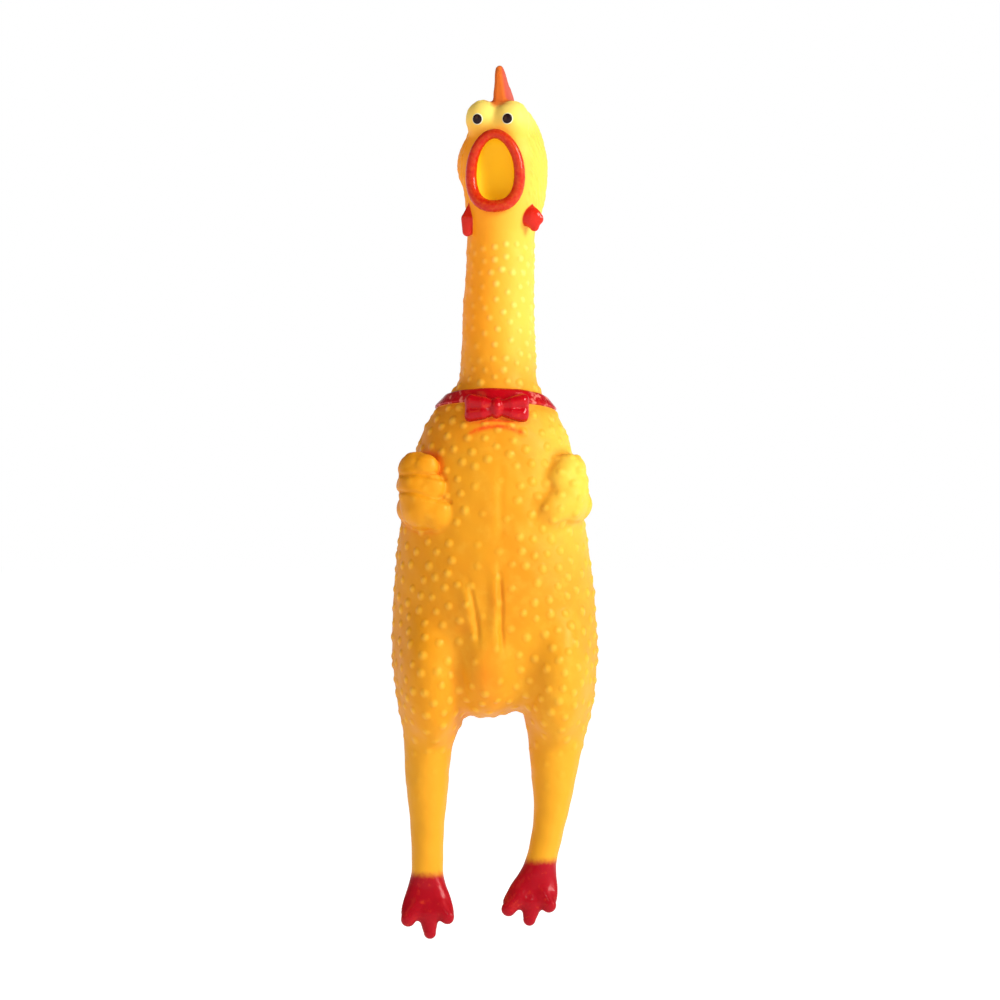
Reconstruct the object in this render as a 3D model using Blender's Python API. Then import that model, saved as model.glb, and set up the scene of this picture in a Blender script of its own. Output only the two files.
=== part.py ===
"""A squeeze-to-scream rubber chicken, 310 mm tall.

The toy is a hollow skin of soft vinyl round an air chamber, with a reed squeaker in its throat. The skin
bends where it is thin and round, so it is modelled as stiff sections with a flexible sleeve between each two:
down the neck, at the hips, half way down the legs and at the ankles. A panel of the belly presses in.

Frame: +Z up along the bird, -Y out of its belly, +X to the viewer's right when it faces them, and the origin
inside its body, where a hand squeezes it. Shapes are worked out in millimetres above the lowest toe, and
become metres from the origin when a piece is placed. Left and right are the viewer's.
"""

import math
from typing import NamedTuple

import bmesh
import bpy
from mathutils import Matrix, Vector

MM = 0.001
GAP = 0.3  # clearance between pieces that touch on the real toy
WALL = 2.2  # the vinyl skin
SIDES = 24  # round the trunk and the head
LIMB_SIDES = 16  # round a leg
FULL_TURN = 2 * math.pi
COMB_TOP = 310.0  # the height of the toy
GRIP = Vector((0, 0, 117.0))  # the origin of the frame, above the lowest toe

# Heights that divide the skin: stiff tube, flexible sleeve, stiff tube, and so on.
NECK_ROOT = 197.0
NECK_SLEEVES = {"base": (197.0, 211.0), "middle": (214.0, 224.0), "top": (227.0, 238.0)}
HEAD_ROOT = 250.0
LEG_ROOT = 72.0
LEG_SLEEVES = {
    "left": {"hip": (60.0, 72.0), "knee": (44.0, 52.0), "ankle": (25.0, 31.0)},
    "right": {"hip": (60.0, 72.0), "knee": (44.5, 52.5), "ankle": (28.0, 34.0)},
}

HEAD_TURN = math.radians(-12)  # the face looks a little to the bird's right
HEAD_X = 2.0
EYE_DOME = {"side": 5.5, "y": -7.5, "z": 291.0, "radius": 6.0}
PUPIL_RADIUS = 1.8
EYE_WHITE_RADIUS = 2.3

MOUTH_Z = 272.2
MOUTH_Y = -15.6
LIP_WIDTH, LIP_HEIGHT = 8.8, 12.7  # half sizes of the lip ring's centreline
LIP_RADIUS = 1.95
POCKET_WALL = 1.2
POCKET_FRONT = -14.6
POCKET_WIDTH, POCKET_HEIGHT = 7.1, 10.9  # half sizes of its opening

BELLY = {"z": 117.0, "panel": (17.0, 25.0), "ring": (22.0, 31.0)}
SQUEAKER = {"x": 1.5, "y": -2.5, "low": 240.0, "high": 256.0, "radius": 7.0, "bore": 5.9}
REED_ROOT = 250.0
BOARD_FACE = -0.2  # the flat the reed lies over, behind the squeaker's axis
REED_THICKNESS = 0.35
THROAT = {"y": -6.9, "low": 257.7, "high": 264.0, "radius": 3.5, "bore": 2.3}
COLLAR_TILT = math.radians(14)
COLLAR_Z, COLLAR_HEIGHT, COLLAR_THICKNESS = 190.0, 4.6, 1.0
BOW_Z, BOW_THICKNESS = 187.6, 4.2
BOW_MIDDLE_Y = -18.6
BOW_SIDES = 14  # round each of its slices

Y_AXIS = Vector((0, 1, 0))
Z_AXIS = Vector((0, 0, 1))


class Section(NamedTuple):
    """A level slice: its height, centre and half width, and its depth in front of and behind the centre."""

    z: float
    x: float
    y: float
    half: float
    front: float
    back: float


TRUNK = [
    Section(76.6, -0.7, 0.0, 8.0, 6.0, 6.0),
    Section(78.6, -0.7, 0.0, 20.0, 14.0, 13.5),
    Section(83.0, -0.8, 0.0, 29.5, 20.5, 19.5),
    Section(89.0, -0.8, 0.0, 34.0, 24.5, 22.5),
    Section(96.0, -0.8, 0.0, 35.9, 26.7, 24.3),
    Section(105.0, -0.8, 0.0, 36.4, 27.7, 25.0),
    Section(117.0, -1.0, 0.0, 35.9, 27.6, 24.6),
    Section(129.0, -1.2, 0.0, 35.0, 26.7, 23.6),
    Section(143.0, -1.4, 0.0, 33.3, 25.4, 22.5),
    Section(157.0, -1.5, 0.0, 30.9, 23.9, 21.5),
    Section(168.0, -1.3, 0.0, 28.7, 22.1, 20.4),
    Section(178.0, -0.9, 0.0, 26.0, 20.0, 18.6),
    Section(186.0, -0.8, 0.0, 22.0, 17.8, 16.9),
    Section(192.0, -0.5, 0.0, 17.2, 15.9, 15.4),
    Section(197.0, 0.3, 0.0, 14.1, 14.4, 14.4),
    Section(205.0, 0.5, 0.0, 13.3, 13.8, 13.8),
    Section(222.0, 0.6, 0.0, 12.6, 12.8, 12.8),
    Section(238.0, 0.9, 0.0, 12.4, 12.4, 12.4),
    Section(253.0, 1.3, 0.0, 12.4, 12.4, 12.4),
]
HEAD = [
    Section(236.0, 0.8, 0.0, 12.4, 12.4, 12.4),
    Section(250.0, 1.2, 0.0, 12.4, 12.4, 12.4),
    Section(255.0, 1.5, 0.0, 13.6, 13.2, 13.8),
    Section(261.0, 1.8, 0.0, 14.9, 14.4, 15.5),
    Section(269.0, 2.0, 0.0, 15.8, 15.1, 16.8),
    Section(276.0, 2.0, 0.0, 15.7, 15.1, 17.0),
    Section(283.0, 2.0, 0.0, 14.3, 14.5, 16.0),
    Section(289.0, 2.0, 0.0, 11.9, 12.8, 13.6),
    Section(293.0, 2.0, 0.0, 9.0, 10.0, 10.4),
    Section(295.6, 2.0, 0.0, 5.4, 6.0, 6.4),
    Section(296.3, 2.0, 0.0, 2.4, 2.6, 2.8),
]
LEGS = {
    "left": [
        Section(100.0, -19.5, 0.0, 12.5, 15.0, 15.0),
        Section(90.0, -21.5, -0.2, 13.4, 15.0, 14.6),
        Section(84.0, -22.6, -0.4, 12.8, 13.8, 13.3),
        Section(79.0, -23.3, -0.6, 11.2, 12.0, 11.7),
        Section(70.0, -24.4, -1.0, 9.1, 9.6, 9.6),
        Section(60.0, -24.7, -1.2, 7.9, 8.3, 8.3),
        Section(52.0, -24.7, -1.4, 7.3, 7.5, 7.5),
        Section(44.0, -24.7, -1.6, 6.4, 6.6, 6.6),
        Section(36.0, -24.7, -1.8, 5.8, 5.9, 5.9),
        Section(24.0, -24.7, -2.1, 5.5, 5.3, 5.3),
    ],
    "right": [
        Section(100.0, 19.5, 0.0, 12.5, 15.0, 15.0),
        Section(90.0, 20.9, -0.3, 13.4, 15.0, 14.6),
        Section(84.0, 21.3, -0.7, 12.8, 13.8, 13.3),
        Section(79.0, 21.4, -1.0, 11.6, 12.2, 12.0),
        Section(70.0, 21.0, -2.0, 9.9, 10.0, 10.0),
        Section(60.0, 20.4, -3.4, 8.3, 8.5, 8.5),
        Section(52.0, 19.9, -5.0, 7.1, 7.3, 7.3),
        Section(44.0, 19.1, -6.6, 6.1, 6.3, 6.3),
        Section(36.0, 17.6, -8.2, 5.6, 5.8, 5.8),
        Section(27.0, 15.3, -10.2, 5.5, 5.4, 5.4),
    ],
}
WEBS = {
    "left": [
        Section(25.0, -24.7, -2.1, 5.5, 5.3, 5.3),
        Section(20.0, -24.7, -3.2, 6.3, 4.4, 4.6),
        Section(14.0, -24.6, -5.3, 8.2, 3.2, 3.3),
        Section(9.5, -24.5, -7.2, 9.5, 2.4, 2.4),
        Section(7.2, -24.5, -8.1, 8.6, 1.6, 1.6),
    ],
    "right": [
        Section(28.0, 15.6, -10.0, 5.5, 5.4, 5.4),
        Section(24.0, 14.6, -11.4, 6.6, 4.4, 4.6),
        Section(18.5, 12.9, -13.6, 8.4, 3.2, 3.3),
        Section(14.0, 11.6, -15.4, 9.7, 2.4, 2.4),
        Section(11.6, 11.3, -16.3, 8.8, 1.6, 1.6),
    ],
}
TOE_TIPS = {
    "left": [(-31.8, 6.6), (-23.6, 2.3), (-17.4, 7.6)],
    "right": [(3.7, 11.2), (11.4, 7.6), (18.6, 12.6)],
}
TOE_RADII = (3.0, 2.3)


def lay_out_pivots():
    """Where each body turns or slides about: the middle of the flexible sleeve above it."""
    pivots = {"torso": Vector((0, 0, 0)), "belly": Vector((0, -27.0, BELLY["z"]))}
    neck = {"lower_neck": "base", "middle_neck": "middle", "head": "top"}
    for body, sleeve in neck.items():
        section = section_at(TRUNK, sum(NECK_SLEEVES[sleeve]) / 2)
        pivots[body] = Vector((section.x, section.y, section.z))
    for side, sleeves in LEG_SLEEVES.items():
        for body, sleeve in {"thigh": "hip", "shin": "knee", "foot": "ankle"}.items():
            section = section_at(LEGS[side], sum(sleeves[sleeve]) / 2)
            pivots[f"{side}_{body}"] = Vector((section.x, section.y, section.z))
    reed_y = SQUEAKER["y"] + BOARD_FACE + GAP + REED_THICKNESS / 2
    pivots["reed"] = Vector((SQUEAKER["x"], reed_y, REED_ROOT))
    return pivots


# ---------------------------------------------------------------------------------------------- shapes


def clear_scene():
    for obj in list(bpy.data.objects):
        bpy.data.objects.remove(obj)


def section_at(sections, z):
    """The slice at height z, on a smooth curve through the listed ones."""
    rows = sorted(sections)
    at = max(i for i, row in enumerate(rows) if row.z <= z or i == 0)
    at = min(at, len(rows) - 2)
    low, high = rows[at], rows[at + 1]
    before, after = rows[max(at - 1, 0)], rows[min(at + 2, len(rows) - 1)]
    span = high.z - low.z
    t = (z - low.z) / span
    values = []
    for k in range(1, len(low)):
        start = (high[k] - before[k]) / (high.z - before.z) * span
        end = (after[k] - low[k]) / (after.z - low.z) * span
        values.append(
            low[k] * (2 * t**3 - 3 * t**2 + 1)
            + start * (t**3 - 2 * t**2 + t)
            + high[k] * (3 * t**2 - 2 * t**3)
            + end * (t**3 - t**2)
        )
    return Section(z, *values)


def section_ring(section, sides, inset=0.0):
    """The points of a slice, anticlockwise from above."""
    ring = []
    for i in range(sides):
        angle = FULL_TURN * i / sides
        depth = section.front if math.sin(angle) < 0 else section.back
        ring.append(
            Vector(
                (
                    section.x + (section.half - inset) * math.cos(angle),
                    section.y + (depth - inset) * math.sin(angle),
                    section.z,
                )
            )
        )
    return ring


def new_object(name, vertices, faces):
    """A mesh object from points in millimetres, with its faces turned outwards."""
    mesh = bpy.data.meshes.new(name)
    mesh.from_pydata([tuple(v) for v in vertices], [], faces)
    shape = bmesh.new()
    shape.from_mesh(mesh)
    bmesh.ops.recalc_face_normals(shape, faces=shape.faces)
    shape.to_mesh(mesh)
    shape.free()
    obj = bpy.data.objects.new(name, mesh)
    bpy.context.scene.collection.objects.link(obj)
    return obj


def bridge(rings, name, closed=False):
    """A solid through rings of equal length. Its ends are capped, or meet if it is closed."""
    count = len(rings[0])
    vertices = [point for ring in rings for point in ring]
    faces = []
    for k in range(len(rings) if closed else len(rings) - 1):
        low, high = k * count, (k + 1) % len(rings) * count
        for i in range(count):
            j = (i + 1) % count
            faces.append((low + i, low + j, high + j, high + i))
    if not closed:
        faces.append(tuple(reversed(range(count))))
        faces.append(tuple(range(len(vertices) - count, len(vertices))))
    return new_object(name, vertices, faces)


def heights_between(sections, low, high):
    inside = [s.z for s in sections if low + 1 < s.z < high - 1]
    return sorted([low, high, *inside])


def body_of_sections(name, sections, low, high, sides, grow=0.0):
    """The solid through the slices from low to high, its surface moved out by grow, or in if negative."""
    heights = heights_between(sections, low, high)
    rings = [section_ring(section_at(sections, z), sides) for z in heights]
    obj = bridge(rings, name)
    if grow:
        shape = bmesh.new()
        shape.from_mesh(obj.data)
        shape.normal_update()
        moves = [(v, v.normal * grow) for v in shape.verts]
        for vertex, move in moves:
            vertex.co += move
        shape.to_mesh(obj.data)
        shape.free()
    return obj


def tube_of_sections(name, sections, low, high, sides):
    """A stretch of hollow skin, open at both ends, with half a gap kept at each end."""
    low, high = low + GAP / 2, high - GAP / 2
    heights = [low, (low + high) / 2, high]
    rings = [section_ring(section_at(sections, z), sides) for z in heights]
    rings += [
        section_ring(section_at(sections, z), sides, inset=WALL)
        for z in reversed(heights)
    ]
    return bridge(rings, name, closed=True)


def finger(name, points, radii, flat=1.0, sides=10, across=Y_AXIS):
    """A round-ended finger through points, thinner by flat in the direction across."""
    rings = []
    count = len(points)
    for k, (point, radius) in enumerate(zip(points, radii, strict=True)):
        along = (points[min(k + 1, count - 1)] - points[max(k - 1, 0)]).normalized()
        thin = (across - along * across.dot(along)).normalized()
        wide = along.cross(thin)
        caps = {0: ((0.9, -0.45), (0.5, -0.85)), count - 1: ((0.9, 0.45), (0.5, 0.85))}
        steps = [(1.0, 0.0), *caps.get(k, ())]
        if k == 0:
            steps.reverse()
        for shrink, shift in steps:
            ring = []
            for i in range(sides):
                angle = FULL_TURN * i / sides
                offset = wide * math.cos(angle) + thin * math.sin(angle) * flat
                ring.append(point + along * shift * radius + offset * radius * shrink)
            rings.append(ring)
    return bridge(rings, name)


def ellipsoid(name, centre, radii):
    """A ball stretched to its three radii."""
    mesh = bpy.data.meshes.new(name)
    shape = bmesh.new()
    bmesh.ops.create_uvsphere(shape, u_segments=16, v_segments=10, radius=1)
    bmesh.ops.transform(
        shape,
        matrix=Matrix.Translation(centre) @ Matrix.Diagonal((*radii, 1)),
        verts=shape.verts,
    )
    shape.to_mesh(mesh)
    shape.free()
    obj = bpy.data.objects.new(name, mesh)
    bpy.context.scene.collection.objects.link(obj)
    return obj


def block(name, low, high):
    """A box between two corners."""
    x, y = (low[0], high[0]), (low[1], high[1])
    corners = [(x[0], y[0]), (x[1], y[0]), (x[1], y[1]), (x[0], y[1])]
    rings = [[Vector((*corner, z)) for corner in corners] for z in (low[2], high[2])]
    return bridge(rings, name)


def rod(name, centre, radius, length, axis=Z_AXIS, sides=20):
    """A straight round bar centred on a point."""
    turn = Z_AXIS.rotation_difference(axis).to_matrix()
    rings = []
    for end in (-length / 2, length / 2):
        ring = []
        for i in range(sides):
            angle = FULL_TURN * i / sides
            point = Vector((radius * math.cos(angle), radius * math.sin(angle), end))
            ring.append(Vector(centre) + turn @ point)
        rings.append(ring)
    return bridge(rings, name)


def oval_prism(name, half_width, half_height, low_y, high_y, sides=28):
    """A bar of oval section through the belly, along Y."""
    rings = []
    for y in (low_y, high_y):
        ring = []
        for i in range(sides):
            angle = FULL_TURN * i / sides
            x = half_width * math.cos(angle)
            ring.append(Vector((x, y, BELLY["z"] + half_height * math.sin(angle))))
        rings.append(ring)
    return bridge(rings, name)


def mouth_ring(half_width, half_height, y, sides=24):
    """The egg shape of the open mouth, wider below, on the plane at y."""
    ring = []
    for i in range(sides):
        angle = FULL_TURN * i / sides
        narrowing = 1 - 0.1 * math.sin(angle)
        x = HEAD_X + half_width * math.cos(angle) * narrowing
        ring.append(Vector((x, y, MOUTH_Z + half_height * math.sin(angle))))
    return ring


def boolean(obj, other, operation, keep=False):
    """Cuts, joins or trims obj with another object, which is then removed unless it is kept."""
    modifier = obj.modifiers.new("Boolean", "BOOLEAN")
    modifier.operation = operation
    modifier.object = other
    graph = bpy.context.evaluated_depsgraph_get()
    mesh = bpy.data.meshes.new_from_object(obj.evaluated_get(graph))
    obj.modifiers.remove(modifier)
    obj.data = mesh
    if not keep:
        bpy.data.objects.remove(other)
    return obj


def cut(obj, *others, keep=False):
    for other in others:
        boolean(obj, other, "DIFFERENCE", keep)
    return obj


def join(obj, *others):
    for other in others:
        boolean(obj, other, "UNION")
    return obj


def trim_to(obj, other, keep=False):
    return boolean(obj, other, "INTERSECT", keep)


def copy_of(obj, name):
    made = obj.copy()
    made.data = obj.data.copy()
    made.name = name
    bpy.context.scene.collection.objects.link(made)
    return made


# ------------------------------------------------------------------------------------------- materials


def material(name, colour, roughness, metallic=0.0):
    made = bpy.data.materials.new(name)
    made.use_nodes = True
    shader = made.node_tree.nodes["Principled BSDF"]
    shader.inputs["Base Color"].default_value = (*colour, 1)
    shader.inputs["Roughness"].default_value = roughness
    shader.inputs["Metallic"].default_value = metallic
    return made


def make_materials():
    return {
        "skin": material("yellow_vinyl", (0.93, 0.40, 0.03), 0.38),
        "mouth": material("mouth_vinyl", (0.92, 0.33, 0.02), 0.45),
        "red": material("red_paint", (0.62, 0.012, 0.02), 0.3),
        "comb": material("comb_paint", (0.85, 0.14, 0.05), 0.38),
        "black": material("black_paint", (0.02, 0.012, 0.012), 0.25),
        "white": material("white_paint", (0.85, 0.82, 0.75), 0.3),
        "plastic": material("squeaker_plastic", (0.82, 0.82, 0.78), 0.3),
        "film": material("reed_film", (0.55, 0.70, 0.78), 0.2),
    }


# ---------------------------------------------------------------------------------------------- pieces


class Toy:
    """Places finished pieces on the moving bodies, each an empty at its joint."""

    def __init__(self):
        self.materials = make_materials()
        self.pivots = lay_out_pivots()
        self.empties = {}
        for body, pivot in self.pivots.items():
            empty = bpy.data.objects.new(f"{body}_frame", None)
            empty.location = (pivot - GRIP) * MM
            bpy.context.scene.collection.objects.link(empty)
            self.empties[body] = empty
        turned = bpy.data.objects.new("head_turn_frame", None)
        turned.parent = self.empties["head"]
        neck = self.pivots["head"]
        turned.location = Vector((HEAD_X - neck.x, -neck.y, 0)) * MM
        turned.rotation_euler.z = HEAD_TURN
        bpy.context.scene.collection.objects.link(turned)
        self.turned = turned

    def add(self, obj, body, finish, on_turned_head=False):
        """Moves a piece's origin to its body's joint, in metres, and gives it its material."""
        centre = self.pivots[body].copy()
        parent = self.empties[body]
        if on_turned_head:
            centre = Vector((HEAD_X, 0, centre.z))
            parent = self.turned
        obj.data.transform(Matrix.Scale(MM, 4) @ Matrix.Translation(-centre))
        obj.data.materials.clear()
        obj.data.materials.append(self.materials[finish])
        obj.data.shade_smooth()
        obj.data.set_sharp_from_angle(angle=math.radians(35))
        obj.parent = parent


def trunk_solid(name, grow):
    """The whole neck and body filled in, grown outwards, to shape what lies on the skin."""
    return body_of_sections(name, TRUNK, TRUNK[0].z, 247.0, SIDES, grow)


def head_solid(name, grow=0.0):
    """The head and its eye domes filled in."""
    solid = body_of_sections(name, HEAD, HEAD_ROOT - 12, HEAD[-1].z, SIDES, grow)
    for side in (-1, 1):
        centre = Vector((HEAD_X + side * EYE_DOME["side"], EYE_DOME["y"], EYE_DOME["z"]))
        join(solid, ellipsoid("dome", centre, [EYE_DOME["radius"] + grow] * 3))
    return solid


def make_torso_skin(toy):
    """The body's shell with the roots of the legs, split along the mould seam, and its belly panel."""
    shell = body_of_sections("shell", TRUNK, TRUNK[0].z, NECK_ROOT, SIDES)
    hollow = body_of_sections("hollow", TRUNK, TRUNK[0].z, NECK_ROOT + 8, SIDES, -WALL)
    for side, sections in LEGS.items():
        join(shell, body_of_sections(side, sections, LEG_ROOT, 98.0, LIMB_SIDES))
        join(hollow, body_of_sections(side, sections, LEG_ROOT - 6, 100.0, LIMB_SIDES, -WALL))
    cut(shell, hollow)

    reach = 60.0
    front_half = block("front", (-reach, -reach, 0), (reach, -GAP / 2, 2 * reach + NECK_ROOT))
    back = copy_of(shell, "back_shell")
    behind = block("behind", (-reach, GAP / 2, 0), (reach, reach, 2 * reach + NECK_ROOT))
    trim_to(back, behind)
    toy.add(back, "torso", "skin")

    breast = trim_to(shell, front_half)
    breast.name = "breast_shell"
    panel_w, panel_h = BELLY["panel"]
    ring_w, ring_h = BELLY["ring"]
    panel = copy_of(breast, "belly_panel")
    trim_to(panel, oval_prism("oval", panel_w, panel_h, -reach, -5.0))
    ring = copy_of(breast, "belly_flex_ring")
    trim_to(ring, oval_prism("oval", ring_w, ring_h, -reach, -5.0))
    cut(ring, oval_prism("oval", panel_w + GAP, panel_h + GAP, -reach, -5.0))
    cut(breast, oval_prism("oval", ring_w + GAP, ring_h + GAP, -reach, -5.0))
    toy.add(panel, "belly", "skin")
    toy.add(ring, "torso", "skin")
    toy.add(breast, "torso", "skin")

    points = [Vector((0, 17, 91)), Vector((0, 27, 94)), Vector((0, 31.5, 97.5))]
    tail = finger("tail", points, (8.0, 4.6, 2.6), flat=0.8, across=Z_AXIS)
    cut(tail, trunk_solid("body", GAP))
    toy.add(tail, "torso", "skin")


def make_wings(toy):
    """A folded wing on each side of the breast: three feather lobes, one over the next."""
    lobes = [
        ((27.8, 167.4), (23.6, 165.8), (4.9, 4.7)),
        ((28.1, 160.8), (22.2, 157.6), (5.6, 5.1)),
        ((28.2, 153.4), (20.2, 150.4), (6.1, 5.3)),
    ]
    middle_x = -1.0
    for side, name in ((-1, "left_wing"), (1, "right_wing")):
        wing = None
        for (x0, z0), (x1, z1), radii in lobes:
            outer = Vector((middle_x + side * x0, -11.5, z0))
            bend = Vector((middle_x + side * (x0 + x1 + 1.5) / 2, -17.0, (z0 + z1) / 2 + 0.5))
            tip = Vector((middle_x + side * x1, -21.6, z1))
            mean = sum(radii) / 2
            lobe = finger(name, (outer, bend, tip), (radii[0], mean, radii[1]), flat=0.78)
            wing = lobe if wing is None else join(wing, lobe)
        cut(wing, trunk_solid("body", GAP))
        toy.add(wing, "torso", "skin")


def make_collar_and_bow(toy):
    """The red band round the root of the neck, and the bow tie on its front."""
    collar = trunk_solid("collar_band", COLLAR_THICKNESS + GAP)
    slab = block("slab", (-40, -40, -COLLAR_HEIGHT / 2), (40, 40, COLLAR_HEIGHT / 2))
    turn = Matrix.Rotation(-COLLAR_TILT, 4, "X")
    slab.data.transform(Matrix.Translation((0, 0, COLLAR_Z)) @ turn)
    trim_to(collar, slab)
    cut(collar, trunk_solid("body", GAP))
    toy.add(collar, "torso", "red")

    outlines = {
        "bow_left_loop": [(-2.0, 2.7, 0.5), (-5.5, 3.9, 0.9), (-9.0, 4.7, 1.0), (-11.6, 4.5, 0.6)],
        "bow_right_loop": [(2.2, 2.7, 0.5), (5.5, 3.9, 0.9), (9.0, 4.7, 1.0), (11.6, 4.5, 0.6)],
        "bow_knot": [(-1.7, 3.3, 0.7), (0.0, 3.8, 1.1), (1.8, 3.3, 0.7)],
    }
    for name, slices in outlines.items():
        rings = []
        for x, half_height, plump in slices:
            ring = []
            for i in range(BOW_SIDES):
                angle = FULL_TURN * i / BOW_SIDES
                thick = BOW_THICKNESS / 2 * plump
                y = BOW_MIDDLE_Y - thick * math.cos(angle) + 0.03 * x * x
                z = BOW_Z + 0.04 * (y - BOW_MIDDLE_Y) + half_height * math.sin(angle)
                ring.append(Vector((x, y, z)))
            rings.append(ring)
        piece = bridge(rings, name)
        cut(piece, trunk_solid("body", COLLAR_THICKNESS + 2 * GAP))
        toy.add(piece, "torso", "red")


def make_neck(toy):
    """Stiff rings of the neck, with the sleeves that bend between them."""
    base, middle, top = (NECK_SLEEVES[k] for k in ("base", "middle", "top"))
    stretches = [
        ("neck_base_sleeve", base, "torso"),
        ("lower_neck_ring", (base[1], middle[0]), "lower_neck"),
        ("neck_middle_sleeve", middle, "lower_neck"),
        ("middle_neck_ring", (middle[1], top[0]), "middle_neck"),
        ("neck_top_sleeve", top, "middle_neck"),
        ("upper_neck_tube", (top[1], HEAD_ROOT), "head"),
    ]
    for name, (low, high), body in stretches:
        toy.add(tube_of_sections(name, TRUNK, low, high, SIDES), body, "skin")


def make_legs(toy):
    """Each leg's stiff tubes and sleeves, and a webbed foot with three toes."""
    for side, sections in LEGS.items():
        hip, knee, ankle = (LEG_SLEEVES[side][k] for k in ("hip", "knee", "ankle"))
        stretches = [
            ("hip_sleeve", hip, "torso"),
            ("thigh_tube", (knee[1], hip[0]), f"{side}_thigh"),
            ("knee_sleeve", knee, f"{side}_thigh"),
            ("shin_tube", (ankle[1], knee[0]), f"{side}_shin"),
            ("ankle_sleeve", ankle, f"{side}_shin"),
        ]
        for name, (low, high), body in stretches:
            tube = tube_of_sections(f"{side}_{name}", sections, low, high, LIMB_SIDES)
            toy.add(tube, body, "skin")
        toy.add(make_foot(side), f"{side}_foot", "red")


def make_foot(side):
    web = WEBS[side]
    top = web[0].z - GAP / 2
    foot = body_of_sections(f"{side}_foot", web, web[-1].z, top, LIMB_SIDES)
    root = section_at(web, top - 10)
    bottom = web[-1]
    for k, (x, z) in enumerate(TOE_TIPS[side]):
        start = Vector((root.x + (k - 1) * 3.4, root.y, root.z))
        fall = (root.z - z) / (root.z - bottom.z)
        tip = Vector((x, root.y + (bottom.y - root.y) * fall, z))
        toe = finger("toe", (start, tip), TOE_RADII, flat=0.75)
        join(foot, toe)
    return foot


def make_head(toy):
    """The head's shell with its mouth, comb, wattles and eyes, all turned with the face."""
    shell = head_solid("head_shell")
    cut(shell, head_solid("hollow", -WALL))
    cut(shell, block("below", (-30, -30, 200), (30, 30, HEAD_ROOT + GAP / 2)))
    clearance = POCKET_WALL + GAP
    mouth_hole = bridge(
        [
            mouth_ring(POCKET_WIDTH + clearance, POCKET_HEIGHT + clearance, y)
            for y in (-30.0, -9.0)
        ],
        "mouth_hole",
    )
    cut(shell, mouth_hole, lip_ring("lip", LIP_RADIUS + GAP))
    toy.add(shell, "head", "skin", on_turned_head=True)
    toy.add(lip_ring("mouth_lip", LIP_RADIUS), "head", "red", on_turned_head=True)
    make_mouth_lining(toy)
    make_comb(toy)
    make_wattles(toy)
    make_eyes(toy)


def lip_ring(name, radius, sides=10):
    """The rolled lip round the mouth."""
    path = [p for p in mouth_ring(LIP_WIDTH, LIP_HEIGHT, MOUTH_Y, 28)]
    centre = Vector((HEAD_X, MOUTH_Y, MOUTH_Z))
    rings = []
    for point in path:
        outward = (point - centre).normalized()
        ring = []
        for i in range(sides):
            angle = FULL_TURN * i / sides
            step = outward * math.cos(angle) - Y_AXIS * math.sin(angle)
            bend = 0.018 * (point.x - HEAD_X) ** 2  # its sides lie back along the face
            ring.append(point + step * radius + Y_AXIS * bend)
        rings.append(ring)
    return bridge(rings, name, closed=True)


def make_mouth_lining(toy):
    """The pocket behind the lip, and the throat from its floor to the squeaker."""
    depths = [(0.0, 1.0), (3.6, 0.97), (7.0, 0.82), (9.1, 0.55), (10.1, 0.22)]
    outer, inner = [], []
    for depth, scale in depths:
        width, height = POCKET_WIDTH * scale, POCKET_HEIGHT * scale
        front = POCKET_FRONT + depth
        wall_y = front + POCKET_WALL if depth else front
        outer.append(mouth_ring(width + POCKET_WALL, height + POCKET_WALL, wall_y))
        inner.append(mouth_ring(width, height, front if depth else front - 1))
    lining = bridge(outer, "mouth_lining")
    low, high = THROAT["low"], THROAT["high"]
    centre = Vector((HEAD_X, THROAT["y"], (low + high) / 2))
    join(lining, rod("throat", centre, THROAT["radius"], high - low))
    cut(lining, bridge(inner, "pocket"))
    cut(lining, rod("bore", centre, THROAT["bore"], high - low + 4))
    cut(lining, lip_ring("lip", LIP_RADIUS + GAP))
    toy.add(lining, "head", "mouth", on_turned_head=True)


def make_comb(toy):
    """A fin of three rounded peaks, the tallest in front, standing on the crown."""
    outline = [
        (-8.6, 292.0),
        (-7.6, 300.0),
        (-5.6, 306.5),
        (-2.6, 309.6),
        (0.0, COMB_TOP),
        (2.2, 308.4),
        (3.6, 304.8),
        (5.2, 303.6),
        (7.4, 304.2),
        (9.0, 302.2),
        (9.8, 299.2),
        (11.4, 298.2),
        (13.2, 298.4),
        (14.6, 296.0),
        (15.6, 290.5),
        (15.4, 286.0),
        (4.0, 286.0),
    ]
    base, top = 2.3, 1.1  # half thicknesses
    middle = Vector((HEAD_X, 3.0, 296.0))
    rings = []
    for side, spread, inward in ((-1, 1.0, 0.8), (-1, 0.6, 0.0), (1, 0.6, 0.0), (1, 1.0, 0.8)):
        ring = []
        for y, z in outline:
            rise = min(max((z - 294) / 14, 0), 1)
            point = Vector((HEAD_X, y, z))
            point += (middle - point).normalized() * inward
            point.x += side * spread * (base + (top - base) * rise)
            ring.append(point)
        rings.append(ring)
    comb = bridge(rings, "comb")
    cut(comb, head_solid("head", GAP))
    toy.add(comb, "head", "comb", on_turned_head=True)


def make_wattles(toy):
    """A red drop hanging under each cheek."""
    for side, name, dx, drop in ((-1, "left_wattle", 11.0, 1.6), (1, "right_wattle", 12.4, 0.0)):
        x = HEAD_X + side * dx
        points = [
            Vector((x - side * 0.4, -6.5, 260.4 - drop)),
            Vector((x + side * 0.5, -7.4, 255.6 - drop)),
            Vector((x + side * 0.4, -7.2, 252.6 - drop)),
        ]
        wattle = finger(name, points, (1.6, 3.7, 2.0), flat=0.6)
        cut(wattle, head_solid("head", GAP))
        toy.add(wattle, "head", "red", on_turned_head=True)


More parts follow.
